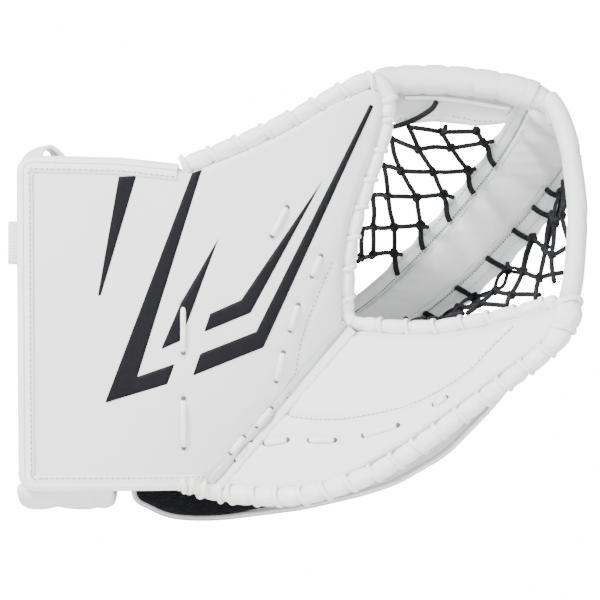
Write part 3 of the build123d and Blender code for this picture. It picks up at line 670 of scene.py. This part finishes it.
def fold_strip(name, side, nodes):
    """Leather that crosses the break from a half to the fold line."""
    s = np.linspace(-3, 129, 67)
    d = np.array([0.0, 0.8, 1.8, 3.0, 4.4, 6.0])
    rows = []
    for k, q in enumerate(d):
        base = place(s, side * q)
        depth = (thumb_y if side > 0 else palm_y)(base[:, 0], base[:, 2])
        sink = 1.6 * math.exp(-((q / 1.7) ** 2)) + 0.9 * max(0, (q - 4.4) / 1.6)
        ripple = 0.35 * np.sin(s / 4.7 + side) * math.exp(-q / 3) + 0.2 * np.sin(s / 2.3 + 2 * side)
        base[:, 1] = (-22.0 if q == 0 else 0) + (depth if q else 0) + sink + (ripple if q else 0.35 * np.sin(s / 4.7))
        rows.append(base)
    front_rows = np.vstack(rows)
    behind = front_rows + np.array([0, 1.5, 0])
    n, m = len(s), len(d)
    faces = []
    for k in range(m - 1):
        for i in range(n - 1):
            a = (k * n + i, k * n + i + 1, (k + 1) * n + i + 1, (k + 1) * n + i)
            a = a[::-1] if side > 0 else a
            faces += [a, tuple(j + n * m for j in a)[::-1]]
    border_ids = list(range(n)) + [k * n + n - 1 for k in range(1, m)]
    border_ids += [(m - 1) * n + i for i in range(n - 2, -1, -1)] + [k * n for k in range(m - 2, 0, -1)]
    for a, b in zip(border_ids, border_ids[1:] + border_ids[:1]):
        faces.append((a, b, b + n * m, a + n * m) if side > 0 else (b, a, a + n * m, b + n * m))
    # painted shade: the break strip takes the darker white leather for the shade of the crease
    strip = make(name, np.vstack([front_rows, behind]), faces, SHADE_PAINTED_WHITE)
    finish_piece(strip, bending(side, 6.0, 60), nodes)


fold_strip("break_leather_thumb", 1, ("break_gusset",))
fold_strip("break_leather_finger", -1, ())
ROLL_BEND = 9.0


def half_roll(name, points, radius, side, nodes):
    """The part of a roll that lies on one side of the break."""
    path = smooth(points, 1.0)
    path = path[across_fold(path[:, 0], path[:, 2]) * side > -0.5]
    piece = make(name, *swept(path, lambda s: oval(radius, radius, 20)), BRIGHT)
    finish_piece(piece, bending(side, ROLL_BEND), nodes)


crotch = [(129.4, -14.9, 62), (129.5, -15.0, 54), (131.5, -15.4, 48), (136.5, -16.0, 45.2), (144, -18.6, 44.6),
          (152, -22, 43.9)]
half_roll("crotch_edge_thumb", crotch, 4.35, 1, ("crotch_roll",))
half_roll("crotch_edge_finger", crotch, 4.35, -1, ())
heel = [(66, -24.5, -62), (58, -20.5, -61.8), (50, -18, -61.4), (43, -19, -60.2), (36.5, -22, -57.6),
        (30, -24.5, -55), (23, -26, -54.4)]
half_roll("heel_edge_thumb", heel, 5.3, 1, ("heel_roll",))
half_roll("heel_edge_finger", heel, 5.5, -1, ())


def heel_wraps(name, side, places):
    """Lace turns round the heel roll on one side of the break."""
    path = smooth(heel, 1.0)
    run = tangents(path)
    turns = Mass()
    for x in places:
        i = int(np.abs(path[:, 0] - x).argmin())
        lace_turn(turns, path[i], run[i], 6.1, 6.0, 1.5 + 0.5 * math.sin(x), 3.5)
    finish_piece(turns.done(name, LACE_WHITE), bending(side, ROLL_BEND))


heel_wraps("heel_laces_thumb", 1, (25.5, 30.5, 37.5))
heel_wraps("heel_laces_finger", -1, (49.5, 57.5))

# ---- the T --------------------------------------------------------------------------------------
PUFFS = (30, 43, 58, 73, 90, 106, 121, 138)
T_FIRST, T_LAST = math.radians(25.0), math.radians(153.5)


def t_half(angle):
    """Half the width of the T's face: narrow at the crotch, wide at the rim."""
    return np.interp(np.degrees(angle), (24, 60, 100, 130, 154), (18.5, 17.5, 16.0, 13.5, 11.5))


def t_strip(angle, sign):
    """Width of the thumb-side (1) or finger-side (-1) strip."""
    if sign > 0:
        return np.interp(np.degrees(angle), (24, 60, 100, 154), (12.0, 12.0, 11.0, 12.0))
    return np.interp(np.degrees(angle), (24, 40, 60, 100, 154), (2.5, 9.0, 15.0, 14.5, 11.0))


def t_relief(angle, side):
    """How far the T's padded face stands in towards the pocket."""
    degrees = np.degrees(angle)
    share = side / t_half(angle)
    lean = [np.abs(degrees - p + (3.5 if i % 2 else -2.5) * share) for i, p in enumerate(PUFFS)]
    crease = np.min(lean, axis=0)
    along = 1 - np.exp(-((crease / 3.6) ** 2))
    across = np.clip(1 - np.abs(share) ** 3.0, 0, 1) ** 0.6
    deep = 0.65 + 0.35 * np.sin(degrees * 0.19 + 0.7)
    return (1.7 + 2.0 * along * deep) * across - 0.6 * (1 - along) * across


angles = np.linspace(T_FIRST, T_LAST, 190)
A, S = np.meshgrid(angles, np.linspace(-1, 1, 33), indexing="ij")
S = S * t_half(A)
wrinkle = 0.30 * noise2(A * 95, S * 0.5, 16, 31) + 0.16 * np.sin(A * 57 - S * 0.5)
face = t_point(A, S, -t_relief(A, S) - wrinkle * np.clip(1 - (S / t_half(A)) ** 4, 0, 1))
rear = t_point(A, S, 7.4 + 0.15 * np.sin(A * 40))


def double_sheet(name, face, rear, mat):
    """A closed solid between two grids of points."""
    n, m = face.shape[:2]
    ids = np.arange(n * m).reshape(n, m)
    faces = []
    for i in range(n - 1):
        for k in range(m - 1):
            quad = (ids[i, k], ids[i, k + 1], ids[i + 1, k + 1], ids[i + 1, k])
            faces += [quad, tuple(j + n * m for j in quad)[::-1]]
    ring = list(ids[0, :]) + list(ids[1:, -1]) + list(ids[-1, -2::-1]) + list(ids[-2:0:-1, 0])
    for a, b in zip(ring, ring[1:] + ring[:1]):
        faces.append((b, a, a + n * m, b + n * m))
    return make(name, np.vstack([face.reshape(-1, 3), rear.reshape(-1, 3)]), faces, mat)


t_pad = double_sheet("t_padded_face", face, rear, WHITE)
finish_piece(t_pad, T_BODY, ("t_padding", "t_board", "t_back"))
NET_ROWS = {1: (1.7, 2.55, 3.4, 4.2, 5.0), -1: (1.1, 2.1, 3.05, 3.9, 4.6, 5.15)}


def row_angle(row):
    """Where a row of the net meets the T."""
    return math.radians(min(151, 147 - 118 * (row + 0.2) / 6.4))


for sign, node in ((1, "t_thumb_strip"), (-1, "t_finger_strip")):
    A, U = np.meshgrid(angles, np.linspace(0, 1, 11), indexing="ij")
    near = np.min([np.abs(A - row_angle(r)) for r in NET_ROWS[sign]], axis=0)
    tab = t_strip(A, sign) + 1.1 * np.cos(np.clip(near / 0.14, 0, 1) * math.pi) - 0.2
    side = sign * (t_half(A) - 0.8 + U * (tab + 0.8))
    bow = 1.0 - np.sin(math.pi * U) + 0.28 * noise2(A * 95, side, 13, 33) - 0.9 * U * U
    f_grid, r_grid = t_point(A, side, bow), t_point(A, side, bow + 2.3)
    if sign < 0:
        f_grid, r_grid = f_grid[:, ::-1], r_grid[:, ::-1]
    # painted shade: the T's side strips take the darker white leather
    finish_piece(double_sheet(node + "_leather", f_grid, r_grid, SHADE_PAINTED_WHITE), T_BODY, (node,))
seams = []
for sign in (1, -1):
    for at, out in ((lambda a: t_half(a) + 1.5, 0.55), (lambda a: t_half(a) - 2.2, -1.6),
                    (lambda a: t_half(a) + t_strip(a, 1) - 3.6, -0.6)):
        seams.append(t_point(angles, sign * at(angles), out - 0.25))
for i, line in enumerate(seams):
    main = i % 3 == 0
    thread = Mass()
    p = even(line, 2.1 if main else 3.3)
    half, wide = (0.55, 0.48) if main else (1.1, 0.36)
    centre = place(T_MIDDLE, -4, 20).ravel()
    for q, r in zip(p, tangents(p)):
        inwards = centre - q
        out = unit(inwards - r * (inwards @ r))
        thread.add(*swept([q - r * half, q + out * 0.25, q + r * half], lambda s: oval(wide, 0.36, 6), up=out))
    # the main seams use dark thread as painted shade of the sunk seam
    finish_piece(thread.done(f"t_stitches_{i}", SEAM_SHADE_PAINT if main else THREAD), T_BODY)

# ---- padded rim ---------------------------------------------------------------------------------


def rim(name, points, radius, body, nodes, puckers, flat, seed, ends, soft=1.0):
    """A stuffed tube of leather with puckers at shares of its length and soft folds between them."""
    path = smooth(points, 1.3)
    r = np.random.default_rng(seed)
    phases = r.uniform(0, math.tau, 5)
    length = len(path)

    def section(share):
        ring = oval(radius, radius * flat, 30)
        turn = np.arange(30) / 30 * math.tau
        fold = sum(soft * 0.20 * np.sin(share * length / n + phases[n - 4] + 2.2 * np.sin(turn + phases[n - 4]))
                   for n in (4, 5, 6, 7))
        fold = fold - soft * 1.1 * np.exp(-((np.sin(share * length / 11 + 1.6 * np.sin(turn + 0.6)) / 0.22) ** 2))
        dent = sum(w * math.exp(-(((share - at) / 0.02) ** 2)) for at, w in puckers)
        scale = 1 + (fold * 0.5 - dent * (0.6 + 0.4 * np.cos(turn * 2))) / radius
        end = ends[0] if share < 0.5 else ends[1]
        close = min(share, 1 - share) * length * 1.3
        scale = scale * (end + (1 - end) * min(1, close / radius))
        return ring * scale[:, None]

    finish_piece(make(name, *swept(path, section), WHITE), body, nodes)


RIM_OVER = [(143, RIM_Y, 195.5), (156, RIM_Y, 198.4), (170, RIM_Y, 199.5), (198, RIM_Y, 199), (225, RIM_Y, 195.5),
            (243, RIM_Y, 191), (248, RIM_Y, 189)]
rim("rim_over_pocket", RIM_OVER, 9.5, THUMB_SIDE, ("rim_top",),
    [(0.18, 1.0), (0.33, 0.7), (0.47, 1.1), (0.63, 0.8), (0.78, 1.0)], 0.95, 3, (0.6, 1.0))


def side_rim_y(x, z):
    return RIM_Y - 0.55 * np.maximum(0, -across_fold(x, z))


RIM_DOWN = on(side_rim_y, [(257, 187.5), (262.5, 178), (267.5, 161), (270, 141), (271.5, 116), (270, 94),
                           (267.5, 74), (264.5, 61), (262, 55)])
rim("rim_down_side", RIM_DOWN, 6.4, FINGER_SIDE, ("rim_side",), [(0.3, 0.5), (0.6, 0.6)], 1.0, 5, (1.0, 0.7), 0.35)
corner = [(240, RIM_Y, 192), (250, RIM_Y, 188.5), (259, RIM_Y, 182.5), (263.5, RIM_Y - 1, 173.5)]
for sign, name, nodes in ((1, "rim_fold_over", ("rim_corner",)), (-1, "rim_fold_side", ())):
    path = smooth(corner, 0.8)
    path = path[across_fold(path[:, 0], path[:, 2]) * sign > -0.6]
    reach = np.interp(path[:, 0], [240, 256, 263], [9.2, 7.4, 6.5])
    piece = make(name, *swept(path, lambda s: oval(1, 1, 24) * reach[int(round(s * (len(path) - 1)))]), WHITE)
    finish_piece(piece, bending(sign, 8.0), nodes)


def level(y):
    """A flat face at one depth."""
    return lambda x, z: np.full(np.shape(x), y)


flap_outline = rounded([(155, 190), (159.5, 172), (172, 172.6), (185, 174), (214, 171), (233, 173), (238, 183),
                        (226, 193), (198, 196), (172, 197)], 4.0, 1.6)
# painted shade: the flap under the rim takes the darker white leather
flap = panel("rim_inner_flap", flap_outline, level(RIM_Y + 8.5), 3.4, SHADE_PAINTED_WHITE,
             lambda x, z, e: 0.8 * np.sin(x / 7 + z / 11) * 0.6 + 0.3 * noise2(x, z, 16, 6), edge=1.2, back_edge=1.0)
finish_piece(flap, THUMB_SIDE, ("rim_flap",))
hem = smooth([(162, 175.5), (172, 176), (186, 177.6), (202, 176.4), (216, 173.8), (229, 176), (234, 181)], 1.5)
stitches("flap_hem_stitches", [(on(level(RIM_Y + 8.35), hem), FRONT)], THUMB_SIDE,
         3.4, 2.3)
welt = smooth([(166, 188.6), (185, 188.4), (205, 186.2), (225, 182.8), (233, 181.6)], 1.5)
welt_tube = swept(on(level(RIM_Y + 4.5), welt), lambda s: oval(1.5, 1.6, 12))
finish_piece(make("rim_welt", *welt_tube, BRIGHT), THUMB_SIDE)

# ---- the nets -----------------------------------------------------------------------------------
THUMB_EDGE = [(x + 5.5, float(thumb_y(x, z)) + 7.5, z) for x, z in
              ((129.5, 72), (131, 92), (135, 111), (141, 130), (148, 149), (153, 165))]
THUMB_EDGE += [(171, 4, 172), (196, 4, 171), (216, 4, 172)]
FINGER_EDGE = [(x, float(palm_y(x, z)) + 8.5, z + 5.5) for x, z in
               ((166, 43), (183, 43.2), (202, 46), (224, 50.5), (243, 55))]
FINGER_EDGE += [(262, -45, 75), (267, -34, 98), (268, -22, 122), (265.5, -9, 147)]


def edge_share(points, share):
    """The point at a share of a line's corners."""
    p = np.array(points, float)
    at = min(max(share, 0.0), 1.0) * (len(p) - 1)
    i = min(int(at), len(p) - 2)
    return p[i] + (p[i + 1] - p[i]) * (at - i)


def net(name, edge, sign, blend, node):
    """Black lace from the T's strip to the facing edge: long and short sides by turns, knotted at each crossing."""
    cords, ends = Mass(), Mass()
    shake = np.random.default_rng(5 if sign > 0 else 9)
    offsets = {}

    def point(row, share):
        key = (round(row, 2), round(share, 2))
        if key not in offsets:
            offsets[key] = shake.normal(0, 1.1, 3) * (0.25 if share in (0, 1.0) else 1)
        angle = row_angle(row)
        near = t_point(angle, sign * float(t_half(angle) + t_strip(angle, sign) - 1.2), -1.2)
        far = edge_share(edge, (row + 0.2) / 6.4)
        bulge = 13 * math.sin(math.pi * share) * min(1, row / 2 + 0.4)
        return near + (far - near) * share + BACK * bulge + offsets[key]

    def run(a, b, sag=0.05, double=False):
        strands = (-1.9, 1.9) if double else (0,)
        for apart in strands:
            side = np.array([0.6, 0.3, -0.75]) * apart
            mid = (a + b) / 2 + BACK * np.linalg.norm(b - a) * sag + shake.normal(0, 0.5, 3) + side * 1.2
            cord_mass(cords, [a + side * 0.4, mid, b + side * 0.4], 1.25 if double else 1.6)

    def tie(at, size, seed):
        knot(cords, at, size, seed)
        cord_mass(cords, [at, at + unit(shake.normal(0, 1, 3)) * size * 1.15], 1.2)

    rows = NET_ROWS[sign]
    pitch = rows[1] - rows[0]
    tops = [point(row, 0.10) for row in rows]
    middles = [point(row - 0.55 * pitch, 0.40) for row in (*rows, rows[-1] + pitch)]
    lasts = [point(row - 1.15 * pitch, 0.71) for row in (*rows, rows[-1] + pitch)]
    for i, row in enumerate((*rows, rows[-1] + pitch)):
        run(middles[i], lasts[i])
        if i < len(rows):
            run(tops[i], middles[i], double=sign < 0)
            run(tops[i], middles[i + 1], double=sign < 0 and i % 2 == 0)
            run(middles[i], lasts[i + 1])
            tie(tops[i], 3.3, i * 7 + 1)
        tie(middles[i], 3.1, i * 7 + 2)
        tie(lasts[i], 2.9, i * 7 + 3)
        run(lasts[i], point(row - 1.15 * pitch + 0.42, 1.0))
        run(lasts[i], point(row - 1.15 * pitch - 0.42, 1.0))
    for i, row in enumerate(rows):
        angle = row_angle(row)
        h, w = float(t_half(angle)), float(t_strip(angle, sign))
        top = tops[i]
        inward = t_point(angle, 0, -10).ravel() - t_point(angle, 0, 0).ravel()
        # a short stub holds the knot to the strip, and a thick end runs over the strip to its seam
        cord_mass(ends, [top, t_point(angle - 0.03, sign * (h + w - 1.0), -0.6).ravel()], 1.5)
        turn = 0.115 if sign > 0 else 0.02 + 0.03 * i / 5
        over = [top + inward * 0.1, t_point(angle + turn * 0.3, sign * (h + w - 0.5), -2.4).ravel(),
                t_point(angle + turn * 0.75, sign * (h + w * 0.5), -3.0).ravel(),
                t_point(angle + turn, sign * (h + 1.0), -1.5).ravel()]
        ends.add(*swept(smooth(over, 1.2), lambda s: oval(1.85, 1.6, 12), up=inward))
    finish_piece(cords.done(name, LACE_BLACK), blend, (node,))
    finish_piece(ends.done(name + "_ends", LACE_BLACK), T_BODY)


net("net_thumb", THUMB_EDGE, 1, (THUMB_SIDE, T_BODY, (150, -18, 150), (205, 60, 125)), "thumb_net")
net("net_finger", FINGER_EDGE, -1, (T_BODY, FINGER_SIDE, (215, 60, 90), (246, -30, 66)), "finger_net")
# one curled lace end lies over the top flap
curl = Mass()
cord_mass(curl, [(186.5, -9, 186.0), (183.5, -10, 181.5), (177, -9, 177), (170, -6, 173.6), (162, -1, 171.2),
                 (156, 3, 170.6)], 1.75)
finish_piece(curl.done("rim_lace_end", LACE_BLACK), THUMB_SIDE)

# ---- backhand pad and the wall to the palm --------------------------------------------------------
PAD = [(-9, -60), (-7, -70), (14, -80), (32, -81.5), (50, -80.5), (100, -73), (136, -64), (160, -56), (192, -37),
       (222, -6), (240, 17), (240, 36), (222, 46), (201, 30.6), (177.4, 17.5), (160, 9.5), (140, 22), (119, 35),
       (100, 26), (50, 18), (-7, 2)]


def quilt(x, z):
    """Sewn channels across the backhand pad."""
    rows = np.abs(np.mod((x - 18) / 34.0 + 0.18 * (z + 20) / 34, 1) - 0.5)
    return 1.8 * np.exp(-(((0.5 - rows) * 34 / 3.2) ** 2)) + 0.25 * noise2(x, z, 30, 21)


pad_outline = rounded(PAD, 10.0, 2.0)
pad = panel("backhand_padding", pad_outline, lambda x, z: pad_y(x, z) + PAD_STACK - 10.5, 11.5, WHITE,
            None, edge=2.0, back_edge=5.0, step=2.2)
co = np.array([v.co for v in pad.data.vertices]) / MM
half = len(co) // 2
e = to_line(co[half:, 0], co[half:, 2], pad_outline, True)
co[half:, 1] -= quilt(co[half:, 0], co[half:, 2]) * np.clip(e / 6, 0, 1)
pad.data.vertices.foreach_set("co", (co * MM).astype(np.float32).ravel())
finish_piece(pad, FINGER_SIDE, ("backhand_skin", "backhand_shell", "backhand_foam"))
LINER = [(-8, -60), (-6, -69), (14, -78.5), (32, -80), (50, -79), (84, -72), (103, -60), (134, -45), (167, -24),
         (195, -3), (218, 16), (229, 28), (220, 42), (201, 29.5), (177, 16.5), (160, 9), (140, 21), (119, 33.5),
         (100, 25), (50, 17), (-6, 1)]
liner = panel("backhand_lining", rounded(LINER, 7.0, 2.5), pad_y, 4.0,
              LINING, lambda x, z, e: 0.5 * noise2(x, z, 26, 23), edge=1.5, back_edge=0.3, step=3.5)
finish_piece(liner, FINGER_SIDE, ("backhand_liner",))
rim_path = rounded(PAD, 10.0, 1.6)
edge_binding = swept(on(pad_y, rim_path, 7.0), lambda s: oval(2.2, 7.4, 20), closed=True)
finish_piece(make("backhand_edge_binding", *edge_binding, BRIGHT), FINGER_SIDE,
             ("backhand_binding",))
pipe = on(pad_y, rim_path, 13.2)
pipe = pipe + (pipe - np.array([120.0, 0, -18.0])) * np.array([0.012, 0, 0.03])
piping = swept(pipe, lambda s: oval(1.0, 1.0, 8), closed=True)
finish_piece(make("backhand_piping", *piping, WEBBING), FINGER_SIDE)
wall_line = smooth([(60, -57), (98, -54.5), (118, -50.4), (134, -43.5), (167, -23), (195, -2.0), (220, 17.5),
                    (234, 29)], 2.0)
u = np.linspace(0, 1, 21)
grid_f, grid_r = [], []
for i, ((x, z), n) in enumerate(zip(wall_line, tangents(wall_line))):
    y0, y1 = float(palm_y(x, z)) + STACK - 2.5, float(pad_y(x, z)) + 2.5
    y = y0 + (y1 - y0) * u
    ends_soft = min(1.0, 0.15 + min(i, len(wall_line) - 1 - i) / 14)
    puff = (9.5 * np.sin(math.pi * u).clip(0) ** 0.8 * ends_soft
            - 1.5 * np.exp(-(((u - 0.42) / 0.05) ** 2)) + 0.5 * np.sin(x / 6 + u * 7) * np.sin(math.pi * u))
    grid_f.append(np.column_stack([x + puff * n[1], y, z - puff * n[0]]))
    grid_r.append(np.column_stack([x + (puff - 2.2) * n[1], y, z - (puff - 2.2) * n[0]]))
# painted shade: the outer wall between palm and pad takes the darker white leather
wall = double_sheet("outer_wall_leather", np.array(grid_r), np.array(grid_f), SHADE_PAINTED_WHITE)
finish_piece(wall, FINGER_SIDE, ("outer_wall",))
seam = np.array([g[9] for g in grid_f])
stitches("outer_wall_stitches", [(seam, (0.5, -0.3, -0.8))], FINGER_SIDE, 3.6, 2.4, holes=False)

# ---- stalls ---------------------------------------------------------------------------------------


AROUND, CLOTH = 24, 1.5


def stall(name, base, tip, radius, body, node):
    """A cloth tube for one finger, open at its base and domed at its tip."""
    path = even([base, tip], 2.0)
    direction = unit(np.array(tip) - np.array(base))
    dome = np.linspace(0.2, 1.45, 6)
    scale = [1.0] * len(path) + [math.cos(a) for a in dome]
    path = np.vstack([path, [path[-1] + direction * radius * math.sin(a) for a in dome]])

    def section(share):
        i = int(round(share * (len(path) - 1)))
        t = np.arange(AROUND) / AROUND * math.tau
        wrinkle = 1 + 0.02 * np.sin(i * 0.9 + 3 * t) + 0.015 * np.sin(i * 0.37)
        return oval(radius, radius, AROUND) * (scale[i] * wrinkle)[:, None]

    v, faces = swept(path, section, caps=False)
    n, rows = len(v), len(path) - 5
    centre = np.repeat(path[:rows], AROUND, 0)
    v_in = centre + (v[:AROUND * rows] - centre) * ((radius - CLOTH) / radius)
    turns = [(k, (k + 1) % AROUND) for k in range(AROUND)]
    for i in range(rows - 1):
        low, high = n + i * AROUND, n + (i + 1) * AROUND
        faces += [(low + k, low + m, high + m, high + k) for k, m in turns]
    faces += [(k, m, n + m, n + k) for k, m in turns]
    faces.append(tuple(n + (rows - 1) * AROUND + k for k in range(AROUND)))
    faces.append(tuple(len(v) - AROUND + k for k in range(AROUND))[::-1])
    finish_piece(make(name, np.vstack([v, v_in]), faces, LINING), body, (node,))


stall("thumb_stall_cloth", (82, float(thumb_y(82, 96)) + 31.6, 96), (117, float(thumb_y(117, 150)) + 31.6, 150), 12.0,
      THUMB_SIDE, "thumb_stall")
FINGER_RISE = math.radians(16)
for finger, x, z, length in (("index", 112, 18.6, 46.5), ("middle", 122, 3.4, 62), ("ring", 116, -15.2, 54),
                             ("little", 104, -35.8, 32)):
    ex, ez = x + length * math.cos(FINGER_RISE), z + length * math.sin(FINGER_RISE)
    stall(finger + "_stall_cloth", (x, float(palm_y(x, z)) + 31, z), (ex, float(palm_y(ex, ez)) + 31, ez), 8.8,
          FINGER_SIDE, finger + "_stall")
BACK_PAD = [(62, 104), (112, 84), (121, 112), (134, 160), (127, 172), (96, 156), (66, 136)]
thumb_pad = panel("thumb_back_padding", rounded(BACK_PAD, 8.0, 1.8), lambda x, z: thumb_y(x, z) + 45, 10.0, WHITE,
                  None, edge=2.0, back_edge=4.5)
finish_piece(thumb_pad, THUMB_SIDE, ("thumb_back_pad",))

# ---- wrist ----------------------------------------------------------------------------------------
LEFT, RIGHT = -77.0, -17.0
CUFF_REAR = -26.5


def wrist_shell(outer, inner_line):
    """A padded wall bent round the wrist: an outer and an inner line in Y and Z, carried along X."""
    o, i = smooth(outer, 1.6), smooth(inner_line, 1.6)
    count = 44
    o, i = (np.column_stack([np.interp(np.linspace(0, 1, count), np.linspace(0, 1, len(l)), l[:, k]) for k in (0, 1)])
            for l in (o, i))
    xs = np.concatenate([[LEFT], LEFT + np.array([0.6, 1.8, 3.6, 6.0]), np.linspace(LEFT + 9, RIGHT - 9, 34),
                         RIGHT - np.array([6.0, 3.6, 1.8, 0.6]), [RIGHT]])
    middle = (o + i) / 2
    f_grid, r_grid = [], []
    for x in xs:
        edge = min(x - LEFT, RIGHT - x)
        full = 0.25 + 0.75 * math.sqrt(max(0, 1 - max(0, 1 - edge / 9.0) ** 2))
        around = np.linspace(0, 1, count)
        ripple = 0.10 * np.sin(around * 9 + x / 5) - 0.35 * np.exp(-(((x + 50 + 14 * around) / 4.0) ** 2))
        ripple = ripple - 0.28 * np.exp(-(((x + 31 - 10 * around) / 3.5) ** 2))
        f_grid.append(np.column_stack([np.full(count, x), middle + (o - middle) * full * (1 + ripple[:, None] * 0.5)]))
        r_grid.append(np.column_stack([np.full(count, x), middle + (i - middle) * full]))
    return f_grid, r_grid


for name, outer, inner_line, node in (
        ("wrist_pad_cover",
         [(CUFF_REAR - 6, -64), (CUFF_REAR + 8, -71.5), (CUFF_REAR + 26, -70.5), (16, -58), (21, -36)],
         [(CUFF_REAR - 6, -53), (CUFF_REAR + 8, -58.5), (CUFF_REAR + 22, -58.5), (9, -50), (15, -34)], "wrist_pad"),
        ("wrist_wall_cover", [(CUFF_REAR - 1, 84), (-8, 88), (14, 84), (23, 73)],
         [(CUFF_REAR - 1, 76), (-8, 79), (8, 75), (17, 67)], "wrist_top_wall")):
    f_grid, r_grid = wrist_shell(outer, inner_line)
    first, second = (f_grid, r_grid) if node == "wrist_pad" else (r_grid, f_grid)
    cover = double_sheet(name, np.array(first), np.array(second), WHITE)
    finish_piece(cover, THUMB_SIDE, (node,))


def strap(name, corners, thick, mat, body, nodes, out=(0, 1, 0), width=38.0, wave=0.25):
    """A flat strap from a start point to an end point with rounded edges and a slight wave."""
    start, end = (np.array(c, float) for c in corners)
    path = even([start, end], 2.0)
    out = np.array(out, float)
    path = path + out * (wave * np.sin(np.arange(len(path)) / 6.0))[:, None]

    def section(share):
        return slab_section(width * (1 - 0.25 * max(0, abs(share - 0.5) - 0.47) / 0.03), thick, 7)

    finish_piece(make(name, *swept(path, section, up=out), mat), body, nodes)


strap("wrist_strap_web", ((-47, 27.8, 71), (-47, 27.8, -58)), 3.3, WEBBING, "wrist_strap_body",
      ("wrist_strap",))
strap("wrist_strap_grip", ((-47, 25.4, -52), (-47, 25.4, -8)), 1.2, HOOK, "wrist_strap_body",
      ("wrist_strap_hook",), width=34, wave=0.0)
strap("wrist_strap_end_web", ((-47, 26.2, 84), (-47, 26.2, 72)), 3.2, WEBBING, THUMB_SIDE,
      ("wrist_strap_anchor",), wave=0)
tilt = math.atan(0.45)
pad_up = ACROSS * math.cos(tilt) + BACK * math.sin(tilt)
pad_out = np.cross(ALONG, pad_up)
pad_out = pad_out if pad_out[1] > 0 else -pad_out
origin = place(0, -36).ravel()
origin[1] = pad_y(origin[0], origin[2]) + PAD_STACK
strap("hand_strap_web", (origin + ALONG * 24 + pad_out * 4.6, origin + ALONG * 112 + pad_out * 4.6), 3.1, WEBBING,
      "hand_strap_body", ("hand_strap",), out=pad_out, width=28, wave=0.15)
strap("hand_strap_grip", (origin + ALONG * 27 + pad_out * 2.45, origin + ALONG * 57 + pad_out * 2.45), 1.1, HOOK,
      "hand_strap_body", ("hand_strap_hook",), out=pad_out, width=24, wave=0)
strap("hand_strap_end_web", (origin + ALONG * 112.8 + pad_out * 3.4, origin + ALONG * 126 + pad_out * 3.4), 5.0,
      WEBBING, FINGER_SIDE, ("hand_strap_anchor",), out=pad_out, width=28, wave=0)
t = np.linspace(0, math.tau, 28, endpoint=False)
ring = np.column_stack([-78 + 5.2 * np.cos(t), CUFF_REAR + 5.5 + 2.6 * np.sin(t), np.full(28, 96.0)])
loop = swept(ring, lambda s: slab_section(27, 1.4), closed=True, up=np.column_stack([np.cos(t), np.sin(t), t * 0]))
finish_piece(make("pull_loop_web", *loop, WHITE_WEB), THUMB_SIDE, ("pull_loop",))
bump = [(-68, -38, 147), (-64, -34, 153), (-58, -31, 155.5), (-53, -29, 152), (-50, -27, 145)]
corner_strap = swept(smooth(bump, 1.5), lambda s: slab_section(16, 2.6, 6), up=(0, 0, 1))
finish_piece(make("cuff_corner_strap", *corner_strap, WHITE_WEB), THUMB_SIDE)

# ---- studio ---------------------------------------------------------------------------------------
FLOOR = -93.0
xs = np.linspace(-5000, 5000, 3)
bend = [(-7000, FLOOR), (900, FLOOR)] + [(900 + 700 * math.sin(a), FLOOR + 700 - 700 * math.cos(a))
                                         for a in np.linspace(0.1, math.pi / 2, 14)] + [(1600, 2600)]
vertices = [(x, y, z) for y, z in bend for x in xs]
faces = [(i * 3 + k, i * 3 + k + 1, i * 3 + k + 4, i * 3 + k + 3) for i in range(len(bend) - 1) for k in range(2)]
PAPER = bpy.data.materials.new("studio_paper")
PAPER.use_nodes = True
tree = PAPER.node_tree
tree.nodes["Principled BSDF"].inputs["Base Color"].default_value = (0.9, 0.9, 0.9, 1)
tree.nodes["Principled BSDF"].inputs["Roughness"].default_value = 0.95
glow, seen, both = (tree.nodes.new("ShaderNode" + kind) for kind in ("Emission", "LightPath", "MixShader"))
glow.inputs["Strength"].default_value = 16.0
tree.links.new(seen.outputs["Is Camera Ray"], both.inputs["Fac"])
tree.links.new(tree.nodes["Principled BSDF"].outputs["BSDF"], both.inputs[1])
tree.links.new(glow.outputs["Emission"], both.inputs[2])
tree.links.new(both.outputs["Shader"], tree.nodes["Material Output"].inputs["Surface"])
make("studio_sweep", vertices, faces, PAPER)

world = bpy.data.worlds.new("soft_white")
world.use_nodes = True
world.node_tree.nodes["Background"].inputs["Color"].default_value = (1, 1, 1, 1)
world.node_tree.nodes["Background"].inputs["Strength"].default_value = 0.5
bpy.context.scene.world = world


def area(name, at, target, size, power):
    data = bpy.data.lights.new(name, "AREA")
    data.energy, data.size = power, size
    light = bpy.data.objects.new(name, data)
    light.location = at
    light.rotation_euler = (Vector(target) - Vector(at)).to_track_quat("-Z", "Y").to_euler()
    bpy.context.scene.collection.objects.link(light)


area("key", (-1.1, -1.2, 1.5), (0.1, 0, 0.05), 0.6, 150)
area("fill", (1.7, -1.5, 0.4), (0.1, 0, 0.05), 1.0, 30)
area("low", (0.2, -1.2, 0.02), (0.1, 0, 0.0), 0.5, 8)

camera_data = bpy.data.cameras.new("photo_view")
camera_data.lens, camera_data.sensor_width = 141.0, 36.0
camera = bpy.data.objects.new("photo_view", camera_data)
camera.location = (0.0998, -1.5, 0.0601)
camera.rotation_euler = (math.pi / 2, 0, 0)
bpy.context.scene.collection.objects.link(camera)
bpy.context.scene.camera = camera
